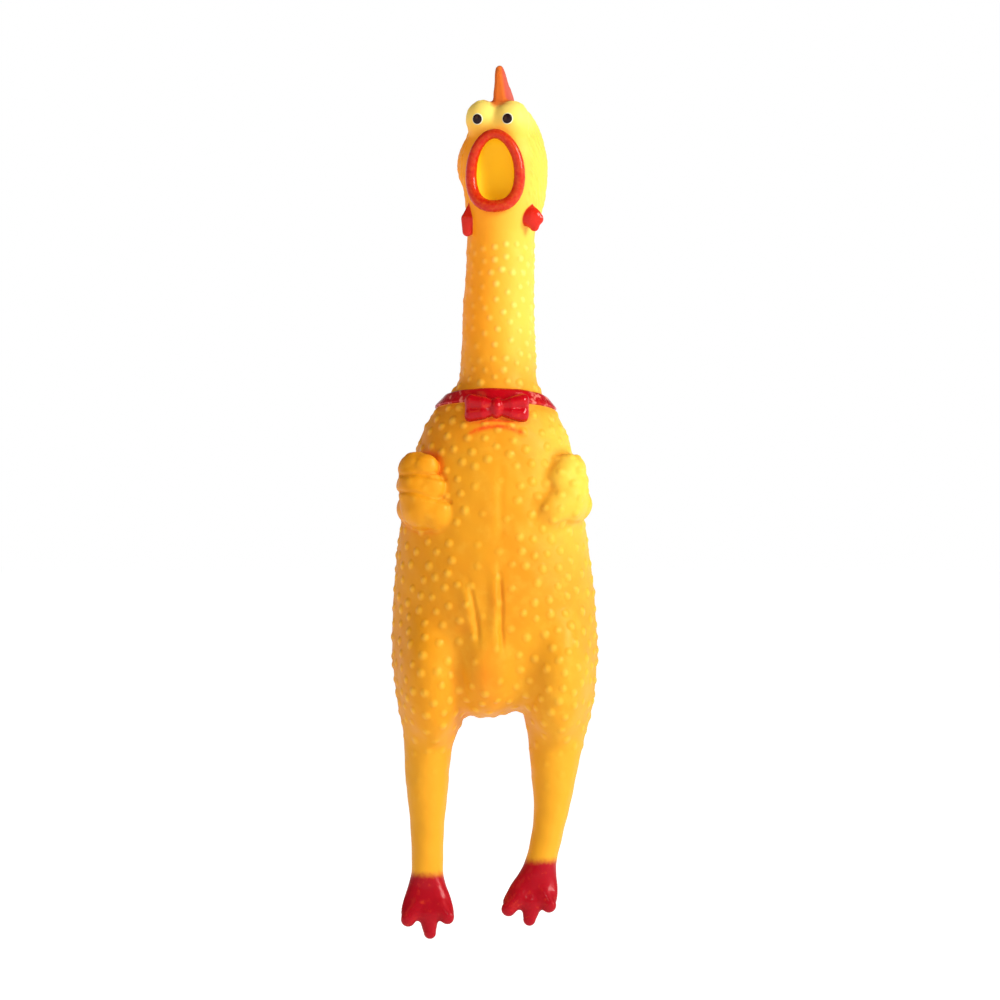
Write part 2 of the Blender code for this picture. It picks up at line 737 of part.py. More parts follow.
def make_eyes(toy):
    """On each dome, a white disc with a black pupil on it, both curved like the dome."""
    for side, name in ((-1, "left"), (1, "right")):
        centre = Vector((HEAD_X + side * EYE_DOME["side"], EYE_DOME["y"], EYE_DOME["z"]))
        front = centre - Y_AXIS * EYE_DOME["radius"]
        layers = [
            (f"{name}_eye_white", EYE_WHITE_RADIUS, GAP, 0.5, "white", 0.0),
            (f"{name}_pupil", PUPIL_RADIUS, 2 * GAP + 0.5, 0.4, "black", 0.3),
        ]
        for node, radius, lift, thickness, finish, rise in layers:
            disc = ellipsoid(node, centre, [EYE_DOME["radius"] + lift + thickness] * 3)
            cut(disc, ellipsoid("inside", centre, [EYE_DOME["radius"] + lift] * 3))
            axis_point = front + Z_AXIS * rise
            trim_to(disc, rod("edge", axis_point, radius, 6.0, axis=Y_AXIS, sides=16))
            toy.add(disc, "head", finish, on_turned_head=True)


def make_squeaker(toy):
    """The reed unit in the throat: barrel, perforated cap, tone board, reed and the clamp on its root."""
    x, y = SQUEAKER["x"], SQUEAKER["y"]
    low, high = SQUEAKER["low"], SQUEAKER["high"]
    radius, bore = SQUEAKER["radius"], SQUEAKER["bore"]
    middle = Vector((x, y, (low + high) / 2))
    barrel = rod("squeaker_barrel", middle, radius, high - low)
    cut(barrel, rod("bore", middle, bore, high - low + 4))
    toy.add(barrel, "head", "plastic")

    cap = rod("squeaker_cap", Vector((x, y, high + GAP + 0.5)), radius, 1.0)
    join(cap, rod("plug", Vector((x, y, high - 0.6)), bore - GAP, 2.6))
    cut(cap, rod("centre_hole", Vector((x, y, high)), 1.3, 8, sides=12))
    for k in range(5):
        angle = FULL_TURN * k / 5 - math.pi / 2
        hole = Vector((x + 3.5 * math.cos(angle), y + 3.5 * math.sin(angle), high))
        cut(cap, rod("hole", hole, 1.1, 8, sides=12))
    toy.add(cap, "head", "plastic")

    face = y + BOARD_FACE
    board = rod("tone_board", Vector((x, y, low + 6.4)), bore - GAP, 12.0)
    cut(board, block("flat", (x - 9, face, low + 2.2), (x + 9, y + 9, high + 9)))
    cut(board, block("channel", (x - 1.7, face - 2.6, low - 3), (x + 1.7, face + 9, low + 8.6)))
    toy.add(board, "head", "plastic")

    reed_low, reed_high = low + 2.6, REED_ROOT + 2.2
    reed_y = face + GAP
    back_y = reed_y + REED_THICKNESS
    reed = block("reed", (x - 2.6, reed_y, reed_low), (x + 2.6, back_y, reed_high))
    toy.add(reed, "reed", "film")

    clamp_y = back_y + GAP
    clamp = rod("reed_clamp", Vector((x, y, REED_ROOT + 0.4)), bore - GAP, 3.4)
    cut(clamp, block("front", (x - 9, y - 9, low), (x + 9, clamp_y, high)))
    toy.add(clamp, "head", "plastic")


def main():
    clear_scene()
    toy = Toy()
    make_torso_skin(toy)
    make_wings(toy)
    make_collar_and_bow(toy)
    make_neck(toy)
    make_legs(toy)
    make_head(toy)
    make_squeaker(toy)


main()
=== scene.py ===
"""The looks of a screaming rubber chicken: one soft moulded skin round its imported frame.

The skin is worked out as a distance field. Lofts, balls, limbs and rings are added or cut with rounded
creases, and one mesh is drawn over the result, so the vinyl runs on without a seam from comb to toes.
That mesh gets its pimples, feather strokes and creases, then it is cut into named pieces that ride on the
frame's bodies or bend between two of them. Paint is a signed distance stored on the mesh, so its edges stay
sharp in the material.

Shapes are in millimetres above the lowest toe, with +X to the viewer's right and -Y towards the viewer.
Left and right are the viewer's.
"""

import math
from typing import NamedTuple

import bpy
import numpy as np
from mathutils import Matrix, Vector
from mathutils.kdtree import KDTree


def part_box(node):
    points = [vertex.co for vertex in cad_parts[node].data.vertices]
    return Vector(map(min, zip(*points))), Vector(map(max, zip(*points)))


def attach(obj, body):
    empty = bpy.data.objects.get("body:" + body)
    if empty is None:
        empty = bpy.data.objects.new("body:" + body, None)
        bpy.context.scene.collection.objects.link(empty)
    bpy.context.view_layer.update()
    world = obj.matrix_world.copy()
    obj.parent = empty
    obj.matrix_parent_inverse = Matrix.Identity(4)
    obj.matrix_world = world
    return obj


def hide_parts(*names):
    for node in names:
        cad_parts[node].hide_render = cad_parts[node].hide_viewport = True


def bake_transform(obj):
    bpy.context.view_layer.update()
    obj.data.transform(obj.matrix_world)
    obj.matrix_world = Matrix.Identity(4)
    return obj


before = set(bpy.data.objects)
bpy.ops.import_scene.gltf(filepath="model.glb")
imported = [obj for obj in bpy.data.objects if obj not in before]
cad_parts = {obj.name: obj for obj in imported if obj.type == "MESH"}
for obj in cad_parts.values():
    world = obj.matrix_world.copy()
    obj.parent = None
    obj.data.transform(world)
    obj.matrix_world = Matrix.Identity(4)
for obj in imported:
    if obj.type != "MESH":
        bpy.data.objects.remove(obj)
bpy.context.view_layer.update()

MM = 0.001
COMB_TOP = 310.0
LIFT = COMB_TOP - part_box("comb")[1].z / MM  # the toes' distance below the frame's origin
STEP = 0.5  # of the grid that the skin is drawn on
FAR = 1e3  # the field's value away from everything
GRID_LOW = np.array([-40.0, -33.0, -2.5])
GRID_HIGH = np.array([40.0, 38.0, 313.0])
SEED = 31
SIDES = (("left", -1), ("right", 1))
BOW_X = -0.2
BOW_PIECES = ("collar_band", "bow_left_loop", "bow_right_loop", "bow_knot")
NECK_START = 197  # the height where its smaller pimples begin

HEAD_TURN = math.radians(-12)  # the face looks a little to the viewer's left
HEAD_X = 2.0
NECK_TURNS_TO_HEAD = (240.0, 250.0)

# Where the skin is cut into pieces, between the bodies' joints.
NECK_CUTS = {"neck_base": (196.0, 212.5), "neck_middle": (212.5, 225.5), "neck_top": (225.5, 242.0)}
LEG_CUTS = {
    "left": {"hip": (57.0, 74.0), "knee": (37.5, 57.0), "ankle": (20.5, 37.5)},
    "right": {"hip": (57.0, 74.0), "knee": (40.0, 57.0), "ankle": (24.0, 40.0)},
}
SEAM_MARGIN = 0.6  # a seam's uneven edge stays rigid with its neighbour

# Level slices: height, centre x, half width, depth in front, depth behind.
TRUNK = [
    (78.9, -4.6, 6.0, 5.5, 5.5),
    (80.6, -4.2, 11.5, 10.5, 11.0),
    (84.0, -2.6, 23.5, 16.0, 18.5),
    (89.0, -1.0, 33.6, 19.5, 22.5),
    (96.0, -0.8, 35.9, 21.8, 24.3),
    (105.0, -0.8, 36.4, 24.2, 25.0),
    (117.0, -1.0, 35.9, 26.6, 24.6),
    (129.0, -1.2, 35.0, 26.6, 23.6),
    (143.0, -1.4, 33.3, 25.4, 22.5),
    (157.0, -1.5, 30.9, 23.9, 21.5),
    (168.0, -1.3, 28.7, 22.1, 20.4),
    (178.0, -0.9, 26.0, 20.0, 18.6),
    (186.0, -0.8, 22.0, 17.8, 16.9),
    (192.0, -0.5, 17.2, 15.9, 15.4),
    (197.0, 0.3, 14.1, 14.4, 14.4),
    (205.0, 0.5, 13.3, 13.8, 13.8),
    (222.0, 0.6, 12.6, 12.8, 12.8),
    (238.0, 1.1, 12.1, 12.4, 12.4),
    (253.0, 1.5, 12.0, 12.4, 12.4),
]
HEAD = [
    (236.0, 1.0, 12.1, 12.4, 12.4),
    (250.0, 1.5, 12.0, 12.4, 12.4),
    (255.0, 2.1, 12.9, 13.2, 13.8),
    (261.0, 2.8, 13.9, 14.4, 15.5),
    (266.0, 2.8, 14.6, 14.9, 16.4),
    (271.0, 2.1, 15.7, 15.1, 16.9),
    (276.0, 1.9, 15.8, 15.1, 17.0),
    (280.0, 2.1, 14.9, 14.8, 16.6),
    (284.0, 2.6, 13.4, 14.4, 15.8),
    (289.0, 2.4, 11.6, 12.8, 13.6),
    (293.0, 2.0, 9.4, 10.0, 10.4),
    (295.6, 2.0, 5.4, 6.0, 6.4),
    (296.3, 2.0, 2.4, 2.6, 2.8),
]
LEGS = {  # the same, with the centre's y after its x
    "left": [
        (100.0, -19.5, 0.0, 12.5, 15.0, 15.0),
        (90.0, -21.5, -0.2, 13.4, 15.0, 14.6),
        (84.0, -22.4, -0.4, 12.6, 13.8, 13.3),
        (79.0, -23.0, -0.6, 11.0, 12.0, 11.7),
        (70.0, -24.2, -1.0, 8.9, 9.6, 9.6),
        (60.0, -24.7, -1.2, 7.9, 8.3, 8.3),
        (52.0, -24.7, -1.4, 7.3, 7.5, 7.5),
        (44.0, -24.7, -1.6, 6.4, 6.6, 6.6),
        (36.0, -24.7, -1.8, 5.8, 5.9, 5.9),
        (24.0, -24.7, -2.1, 5.6, 5.2, 5.2),
        (19.0, -24.7, -3.4, 6.6, 4.2, 4.4),
        (14.0, -24.6, -5.3, 8.4, 3.2, 3.3),
        (9.6, -24.5, -7.2, 9.3, 2.4, 2.4),
        (8.4, -24.5, -7.8, 8.7, 1.9, 1.9),
        (7.7, -24.5, -8.0, 6.8, 1.4, 1.4),
    ],
    "right": [
        (100.0, 19.5, 0.0, 12.5, 15.0, 15.0),
        (90.0, 20.9, -0.3, 13.4, 15.0, 14.6),
        (84.0, 21.3, -0.7, 12.8, 13.8, 13.3),
        (79.0, 21.4, -1.0, 11.6, 12.2, 12.0),
        (70.0, 21.0, -2.0, 9.9, 10.0, 10.0),
        (60.0, 20.4, -3.4, 8.3, 8.5, 8.5),
        (52.0, 19.9, -5.0, 7.1, 7.3, 7.3),
        (44.0, 19.1, -6.6, 6.1, 6.3, 6.3),
        (36.0, 17.6, -8.2, 5.6, 5.8, 5.8),
        (27.0, 15.3, -10.2, 5.7, 5.2, 5.2),
        (23.0, 14.2, -11.8, 6.9, 4.2, 4.4),
        (18.5, 12.9, -13.6, 8.6, 3.2, 3.3),
        (14.2, 11.6, -15.4, 9.4, 2.4, 2.4),
        (13.0, 11.4, -15.8, 8.7, 1.9, 1.9),
        (12.3, 11.3, -16.0, 6.8, 1.4, 1.4),
    ],
}
TOES = {  # the tips, and where all three spring from
    "left": {"tips": [(-31.4, 7.0), (-23.6, 2.4), (-17.6, 7.8)], "y": -8.8, "root": (-24.6, -4.2, 17.0)},
    "right": {"tips": [(4.1, 11.4), (11.4, 7.8), (18.4, 12.6)], "y": -17.2, "root": (13.4, -12.9, 20.6)},
}
FOOT_PAINT = {"left": 22.8, "right": 28.2}  # the top of the red
LEG_BOXES = {"left": ((-40, -33, -2.5), (0, 24, 104)), "right": ((0, -33, 1), (40, 24, 104))}
THIGH_BOXES = {"left": ((-40, -33, 66), (-4, 16, 128)), "right": ((2, -33, 66), (40, 16, 128))}

WINGS = {  # the left one shows three stacked feathers; the right one is folded, forearm over upper arm
    "left_wing": {
        "feathers": [
            ([(-29.6, -9.5, 166.4), (-28.0, -15.0, 167.2), (-25.2, -17.6, 167.0)], [5.2, 5.2, 4.6]),
            ([(-30.0, -9.5, 160.6), (-28.0, -15.8, 160.6), (-23.2, -18.8, 159.6)], [5.4, 5.4, 5.2]),
            ([(-29.5, -9.5, 152.4), (-27.0, -16.6, 152.6), (-21.2, -19.8, 150.6)], [6.0, 6.4, 5.8]),
        ],
        "mass": ([(-28.8, -13.4, 166.2), (-27.4, -14.9, 160.0), (-25.6, -16.0, 152.6)], [5.8, 7.4, 8.0]),
        "crease": 0.5,
        "blend": 1.2,
        "box": ((-40, -33, 136), (-8, 0, 182)),
    },
    "right_wing": {
        "feathers": [
            ([(26.2, -9.0, 166.2), (25.0, -14.0, 166.0), (22.4, -16.6, 163.0)], [5.4, 5.6, 4.8]),
            ([(27.2, -9.5, 153.8), (24.2, -15.4, 155.0), (18.6, -18.8, 151.8)], [6.4, 6.8, 5.8]),
        ],
        "mass": ([(26.0, -11.4, 165.6), (25.6, -12.4, 160.0), (24.8, -13.0, 153.5)], [5.4, 6.8, 6.6]),
        "crease": 2.0,
        "blend": 2.4,
        "box": ((8, -33, 136), (40, 0, 182)),
    },
}
FOLDS = [  # (height, x) down each, its depth and its width: two on the belly, and the keel
    ([(102.5, -6.8), (108.0, -7.0), (114.0, -7.5), (121.0, -8.9), (131.0, -11.2)], 0.75, 1.0),
    ([(99.0, 2.6), (103.0, 2.0), (110.0, 1.2), (116.0, 1.3), (124.0, 1.0), (136.0, 0.2)], 0.85, 1.0),
    ([(138.0, 1.0), (150.0, 0.9), (174.0, 0.9)], 0.3, 1.5),
]
WING_LINES = [  # (x, height) along each, its depth and its width
    ([(-33.5, 164.2), (-28.0, 164.5), (-23.0, 163.6), (-18.5, 162.6)], 0.62, 0.75),
    ([(-34.5, 158.4), (-28.5, 158.0), (-23.0, 156.2), (-16.5, 154.6)], 0.62, 0.75),
    ([(19.0, 160.0), (16.0, 154.4), (13.6, 150.0), (12.6, 147.6)], 0.30, 1.3),
]

LIP_WIDTH, LIP_HEIGHT, LIP_RADIUS = 8.7, 12.8, 1.95
MOUTH = (0.4, -15.6, 271.7)
MOUTH_TAPER = 0.12  # the share that the mouth narrows by at its top, and widens by at its bottom
WATTLES = {
    "left_wattle": [([(-10.0, -8.8, 260.2), (-10.8, -9.4, 255.0), (-10.8, -9.2, 250.5)], [0.5, 2.2, 1.8])],
    "right_wattle": [
        ([(11.4, -7.6, 260.6), (12.1, -7.9, 255.4), (13.2, -7.8, 251.9)], [0.3, 3.4, 1.6]),
        ([(12.1, -7.9, 255.4), (14.7, -7.8, 254.6)], [3.2, 1.6]),
    ],
}
EYES = {
    "left": {"dome": (-5.4, -7.5, 290.0), "radii": (6.0, 6.1, 7.0), "pupil": (-5.8, 289.9)},
    "right": {"dome": (4.9, -7.6, 289.0), "radii": (6.5, 6.4, 7.6), "pupil": (5.1, 289.9)},
}
COMB = [  # its outline in y and z, from the front over the top
    *((-8.6, 291.0), (-7.4, 300.0), (-5.4, 306.8), (-3.6, 309.3), (-1.6, 309.9), (0.2, 308.2)),
    *((1.6, 304.6), (2.8, 303.4), (4.6, 303.0), (6.2, 300.8), (7.0, 298.2), (8.2, 297.2)),
    *((10.2, 296.8), (11.6, 294.4), (12.6, 290.5), (12.6, 286.0), (-4.0, 286.0)),
]
COMB_ROOT, COMB_LEAN = 1.65, -0.095  # sideways at its lowest point, and for each millimetre up


# -------------------- distance fields


class Loft:
    """A soft column through level slices. It runs smoothly between them, and closes past the last."""

    def __init__(self, rows):
        z, x, y, half, front, back = np.array(sorted(rows), float).T
        self.z = z
        self.values = np.array([x, y, half**2, (half / front) ** 2, (half / back) ** 2])
        secants = np.diff(self.values) / np.diff(z)
        middle = (self.values[:, 2:] - self.values[:, :-2]) / (z[2:] - z[:-2])
        self.slopes = np.hstack([secants[:, :1], middle, secants[:, -1:]])

    def at(self, z):
        """The slice at height z, and how fast it changes."""
        i = np.clip(np.searchsorted(self.z, z) - 1, 0, len(self.z) - 2)
        span = self.z[i + 1] - self.z[i]
        past = (z - self.z[i]) / span
        t = np.clip(past, 0, 1)
        low, high = self.values[:, i], self.values[:, i + 1]
        start, end = self.slopes[:, i] * span, self.slopes[:, i + 1] * span
        bend, twist = t * t * (3 - 2 * t), t * (1 - t)
        value = low + (high - low) * bend + start * twist * (1 - t) - end * twist * t
        slope = (
            6 * (high - low) * twist
            + start * (1 - 4 * t + 3 * t * t)
            + end * (3 * t * t - 2 * t)
        ) / span
        closing = np.reshape([0, 0, 1, 0, 0], (5, *[1] * np.ndim(z)))  # past the ends only the area changes
        slope = np.where(past == t, slope, slope * closing)
        return value + slope * (past - t) * span, slope

    def __call__(self, x, y, z):
        (cx, cy, area, front, back), (cx_, cy_, area_, front_, back_) = self.at(z)
        dx, dy = x - cx, y - cy
        ahead = dy < 0
        ratio, ratio_ = np.where(ahead, front, back), np.where(ahead, front_, back_)
        dy2 = dy * dy
        over = dx * dx + ratio * dy2 - area
        rise = ratio_ * dy2 - 2 * dx * cx_ - 2 * ratio * dy * cy_ - area_
        steep = 4 * dx * dx + 4 * ratio * ratio * dy2 + rise * rise
        return 2 * over / (np.sqrt(steep) + np.sqrt(np.maximum(steep - 4 * over, 0.01)))


def ball(centre, radii):
    """A ball stretched to three radii."""
    radii = np.broadcast_to(radii, 3)

    def distance(x, y, z):
        p = [(x - centre[0]) / radii[0], (y - centre[1]) / radii[1], (z - centre[2]) / radii[2]]
        near = np.sqrt(p[0] ** 2 + p[1] ** 2 + p[2] ** 2)
        fall = np.sqrt(sum((p[k] / radii[k]) ** 2 for k in range(3)))
        return near * (near - 1) / np.maximum(fall, 1e-6)

    return distance


def limb(points, radii, flat=(1, 1, 1)):
    """A chain of tapered round rods, thinner along an axis by flat."""
    points = np.array(points, float) / flat

    def distance(x, y, z):
        x, y, z = x / flat[0], y / flat[1], z / flat[2]
        best = np.inf
        for a, b, r0, r1 in zip(points[:-1], points[1:], radii[:-1], radii[1:], strict=True):
            ab = b - a
            along = (x - a[0]) * ab[0] + (y - a[1]) * ab[1] + (z - a[2]) * ab[2]
            t = np.clip(along / (ab @ ab), 0, 1)
            gap = (x - a[0] - t * ab[0]) ** 2 + (y - a[1] - t * ab[1]) ** 2 + (z - a[2] - t * ab[2]) ** 2
            best = np.minimum(best, np.sqrt(gap) - (r0 + t * (r1 - r0)))
        return best * min(flat)

    return distance


def fin(outline, half_low, half_high, edge):
    """An upright fin with that outline in Y and Z, thinner above, pillowed and rounded at its edge."""
    pillow, pillow_reach = 0.3, 2.5
    ends = list(zip(outline, outline[1:] + outline[:1], strict=True))
    low, high = min(p[1] for p in outline), max(p[1] for p in outline)

    def distance(x, y, z):
        best, inside = np.inf, False
        for (y0, z0), (y1, z1) in ends:
            ey, ez = y1 - y0, z1 - z0
            t = np.clip(((y - y0) * ey + (z - z0) * ez) / (ey * ey + ez * ez), 0, 1)
            best = np.minimum(best, (y - y0 - t * ey) ** 2 + (z - z0 - t * ez) ** 2)
            if ez:
                level = ((z0 <= z) & (z < z1)) | ((z1 <= z) & (z < z0))
                inside = inside ^ (level & (y < y0 + (z - z0) * ey / ez))
        flat_gap = np.where(inside, -1, 1) * np.sqrt(best) + edge
        half = half_low + (half_high - half_low) * np.clip((z - low) / (high - low), 0, 1)
        half = half * (1 - pillow * np.exp(np.minimum(flat_gap - edge, 0) / pillow_reach))
        side_gap = np.abs(x - COMB_ROOT - COMB_LEAN * (z - low)) - half + edge
        outside = np.sqrt(np.maximum(flat_gap, 0) ** 2 + np.maximum(side_gap, 0) ** 2)
        return outside + np.minimum(np.maximum(flat_gap, side_gap), 0) - edge

    return distance


def egg(angle, half_width, half_height):
    """A point of the mouth's outline, which is narrower above and square-shouldered below."""
    cos, sin = math.cos(angle), math.sin(angle)
    squarer = 1 - 0.07 * (1 - sin)
    across = half_width * math.copysign(abs(cos) ** squarer, cos) * (1 - MOUTH_TAPER * sin)
    return across, half_height * math.copysign(abs(sin) ** squarer, sin)


def lip():
    """The rolled lip: a ring whose sides lie back along the face, thicker below."""
    points, radii = [], []
    count, face_bend, thinning = 32, 0.018, 0.2
    for i in range(count + 1):
        angle = 2 * math.pi * i / count
        x, z = egg(angle, LIP_WIDTH, LIP_HEIGHT)
        points.append((MOUTH[0] + x, MOUTH[1] + face_bend * x * x, MOUTH[2] + z))
        radii.append(LIP_RADIUS - thinning * math.sin(angle))
    return limb(points, radii)


def pocket(x, y, z):
    """The hollow of the mouth: an egg-shaped bowl."""
    width, height, depth = 7.2, 11.0, 6.0
    rise = z - MOUTH[2]
    narrowing = 1 - MOUTH_TAPER * np.clip(rise / height, -1, 1)
    across, inward = np.abs(x - MOUTH[0]), np.maximum(y - MOUTH[1], 0)
    p = [across / (width * narrowing), inward / depth, np.abs(rise) / height]
    near = np.cbrt(p[0] ** 3 + p[1] ** 3 + p[2] ** 3)
    fall = np.sqrt((p[0] ** 2 / width) ** 2 + (p[1] ** 2 / depth) ** 2 + (p[2] ** 2 / height) ** 2)
    return near**2 * (near - 1) / np.maximum(fall, 1e-6)


def from_head(x, y):
    """Where a point of the unturned head, measured from its axis, comes to."""
    cos, sin = math.cos(HEAD_TURN), math.sin(HEAD_TURN)
    return HEAD_X + cos * x - sin * y, sin * x + cos * y


def to_head(x, y):
    """The point of the unturned head, measured from its axis, that comes to this one."""
    cos, sin = math.cos(HEAD_TURN), math.sin(HEAD_TURN)
    dx = x - HEAD_X
    return cos * dx + sin * y, cos * y - sin * dx


def on_head(shape):
    """The same shape placed on the turned head."""
    return lambda x, y, z: shape(*to_head(x, y), z)


trunk = Loft([(z, x, 0.0, *rest) for z, x, *rest in TRUNK])
head_loft = Loft([(z, x - HEAD_X, 0.0, *rest) for z, x, *rest in HEAD])


def collar(x, y, z):
    """The band round the root of the neck, high in front."""
    middle, rise_forward, rise_left, flattening = 190.2, 0.14, 0.02, 0.98
    half_height, thickness, edge = 2.3, 1.0, 0.9
    level = (z - middle + rise_forward * y + rise_left * x) * flattening
    return round_max(trunk(x, y, z) - thickness, np.abs(level) - half_height, edge)


# -------------------- joining fields


def round_min(a, b, k):
    """The smaller of two, rounded where they are within k of each other."""
    blend = np.maximum(k - np.abs(a - b), 0) / k
    return np.minimum(a, b) - blend * blend * k / 4


def round_max(a, b, k):
    return -round_min(-a, -b, k)


def ramp(t, low, high):
    """0 below low, 1 above high, smooth between."""
    t = np.clip((t - low) / (high - low), 0, 1)
    return t * t * (3 - 2 * t)


def bell(gap, width):
    """1 at no gap, falling away to 0 over a few widths."""
    return np.exp(-((gap / width) ** 2))


class Part(NamedTuple):
    """One shape of the toy: how it joins the others, and with how round a crease, and the box it is in."""

    name: str
    shape: object
    join: str
    crease: float
    low: tuple
    high: tuple

    def on(self, field, x, y, z):
        value = self.shape(x, y, z)
        if self.join == "add":
            return round_min(field, value, self.crease)
        if self.join == "cut":
            return round_max(field, -value, self.crease)
        weight = ramp(z, *NECK_TURNS_TO_HEAD)  # a turn: the neck becomes the head
        return field + (value - field) * weight


def body_parts():
    pouch = ball((-3.6, -9.6, 101.4), (12.2, 17.2, 22.2))
    parts = [
        Part("trunk", trunk, "add", 1.0, tuple(GRID_LOW), tuple(GRID_HIGH)),
        Part("head", on_head(head_loft), "turn", 0, (-20, -22, 238), (24, 24, 313)),
        Part("pouch", pouch, "add", 3.0, (-20, -33, 72), (18, 10, 128)),
    ]
    for side, sign in SIDES:
        leg = cap_above(Loft(LEGS[side]), 99.0)
        thigh = ball((sign * 22.0 - 0.8, -6.4, 95.0), (12.2, 18.2, 27.0))
        parts.append(Part(f"{side}_leg", leg, "add", 2.6, *LEG_BOXES[side]))
        parts.append(Part(f"{side}_thigh", thigh, "add", 4.0, *THIGH_BOXES[side]))
    return parts


def cap_above(shape, top):
    """The shape, ended at a height with a round edge."""
    return lambda x, y, z: round_max(shape(x, y, z), z - top, 3.0)


def foot_parts(side):
    toes = TOES[side]
    x, y, z = toes["root"]
    aside, around = 7, 6  # how far the box reaches past the toe's middle line
    parts = []
    for k, (tip_x, tip_z) in enumerate(toes["tips"]):
        share, radii = (0.64, [1.0, 3.5, 2.2]) if k == 1 else (0.62, [1.0, 2.6, 2.5])
        knuckle = (x + (tip_x - x) * share, y + (toes["y"] - y) * 0.7, z + (tip_z - z) * share)
        toe = limb([(x, y, z), knuckle, (tip_x, toes["y"], tip_z)], radii, flat=(1, 0.64, 1))
        low = (min(x, tip_x) - aside, min(y, toes["y"]) - around, tip_z - around)
        high = (max(x, tip_x) + aside, max(y, toes["y"]) + around, z + around)
        parts.append(Part(f"{side}_toe_{k}", toe, "add", 1.2, low, high))
    return parts


def wing_parts():
    parts = []
    for name, wing in WINGS.items():
        feathers = [limb(*feather, flat=(1, 0.72, 1)) for feather in wing["feathers"]]
        shape = join([join(feathers, wing["crease"]), limb(*wing["mass"])], 0.8)
        parts.append(Part(name, shape, "add", wing["blend"], *wing["box"]))
    return parts


def join(shapes, crease):
    """One shape of several, with rounded creases between them."""

    def distance(x, y, z):
        field = shapes[0](x, y, z)
        for other in shapes[1:]:
            field = round_min(field, other(x, y, z), crease)
        return field

    return distance


def bow_parts():
    """The tie: two loops, each of an upper and a lower fold, and a knot."""
    box = ((-17, -26, 176), (17, -8, 199))
    parts = [Part("collar_band", collar, "add", 0.6, (-28, -24, 178), (28, 24, 202))]
    for side, sign in SIDES:
        folds = []
        for root_z, tip_z, radius in ((188.9, 190.2, 2.6), (186.7, 185.6, 2.5)):
            root, tip = (sign * 1.6, -18.6, root_z), (sign * 8.6 - 0.1, -17.4, tip_z)
            middle = (sign * 5.2, -18.6, (root_z + tip_z) / 2)
            folds.append(limb([root, middle, tip], [1.6, 2.3, radius], flat=(1, 0.9, 1)))
        corner = limb([(sign * 9.6, -16.9, 190.8), (sign * 9.7, -17.0, 184.8)], [1.6, 1.6])
        parts.append(Part(f"bow_{side}_loop", join([*folds, corner], 0.8), "add", 0.5, *box))
    knot = ball((-0.1, -19.0, 187.7), (2.3, 2.3, 3.7))
    parts.append(Part("bow_knot", knot, "add", 0.5, *box))
    return parts


def face_parts():
    parts = []
    for eye in EYES.values():
        dome = on_head(ball(eye["dome"], eye["radii"]))
        parts.append(Part("dome", dome, "add", 1.6, (-20, -24, 280), (20, 8, 302)))
    comb = on_head(fin(COMB, 4.6, 1.5, 1.2))
    parts.append(Part("comb", comb, "add", 2.0, (-8, -14, 284), (14, 22, 313)))
    throat = limb([(0.4, -12.9, 261.6), (0.4, -11.4, 257.0)], [1.2, 1.2])
    mouth_box = ((-14, -24, 255), (14, 0, 290))
    parts.append(Part("mouth_lining", on_head(pocket), "cut", 1.0, *mouth_box))
    parts.append(Part("throat", on_head(throat), "cut", 0.8, *mouth_box))
    parts.append(Part("mouth_lip", on_head(lip()), "add", 0.7, *mouth_box))
    for name, rods in WATTLES.items():
        shape = join([on_head(limb(*rod, flat=(1, 0.62, 1))) for rod in rods], 1.2)
        knee = rods[0][0][1]
        x = from_head(knee[0], knee[1])[0]
        parts.append(Part(name, shape, "add", 0.7, (x - 9, -24, 244), (x + 9, 6, 267)))
    return parts


def tail_part():
    tail = limb([(-0.8, 17, 91), (-0.8, 26, 94), (-0.8, 30.6, 97.0)], [8.0, 4.8, 2.6], flat=(1, 1, 0.85))
    return Part("tail", tail, "add", 3.0, (-14, 8, 78), (14, 38, 106))


CORE = body_parts()
FEET = foot_parts("left") + foot_parts("right")
PARTS = [*CORE, *FEET, tail_part(), *wing_parts(), *bow_parts(), *face_parts()]
BY_NAME = {part.name: part for part in PARTS}


def field_on_grid(parts):
    """The field's value at each point of the grid."""
    axes = [np.arange(GRID_LOW[k], GRID_HIGH[k], STEP) for k in range(3)]
    field = np.full([len(a) for a in axes], FAR, np.float32)
    for part in parts:
        index, coords = [], []
        for k in range(3):
            start = int(np.searchsorted(axes[k], part.low[k]))
            end = int(np.searchsorted(axes[k], part.high[k]))
            index.append(slice(start, end))
            shape = [1, 1, 1]
            shape[k] = -1
            coords.append(axes[k][start:end].reshape(shape).astype(np.float32))
        index = tuple(index)
        field[index] = part.on(field[index], *coords)
    return field


def field_at(points, parts=None):
    """The field's value at loose points."""
    field = np.full(len(points), FAR)
    for part in parts or PARTS:
        near = np.all((points >= part.low) & (points < part.high), axis=1)
        field[near] = part.on(field[near], *points[near].T)
    return field


def slope_of(function, points, reach=0.04):
    """How fast a function of points changes along each axis."""
    slopes = np.empty_like(points)
    for k in range(3):
        step = np.zeros(3)
        step[k] = reach
        slopes[:, k] = (function(points + step) - function(points - step)) / (2 * reach)
    return slopes


def unit(vectors):
    return vectors / np.maximum(np.linalg.norm(vectors, axis=1, keepdims=True), 1e-9)


def settle(points, rounds=2):
    """Moves points onto the surface. Returns them with the surface's normals."""
    least_steep, longest = 0.05, 0.6 * STEP
    for _ in range(rounds):
        slope = slope_of(field_at, points)
        steep = np.maximum((slope**2).sum(1), least_steep)
        move = slope * (field_at(points) / steep)[:, None]
        length = np.linalg.norm(move, axis=1, keepdims=True)
        points = points - move * np.minimum(1, longest / np.maximum(length, 1e-9))
    return points, unit(slope_of(field_at, points))


# -------------------- the skin as a mesh


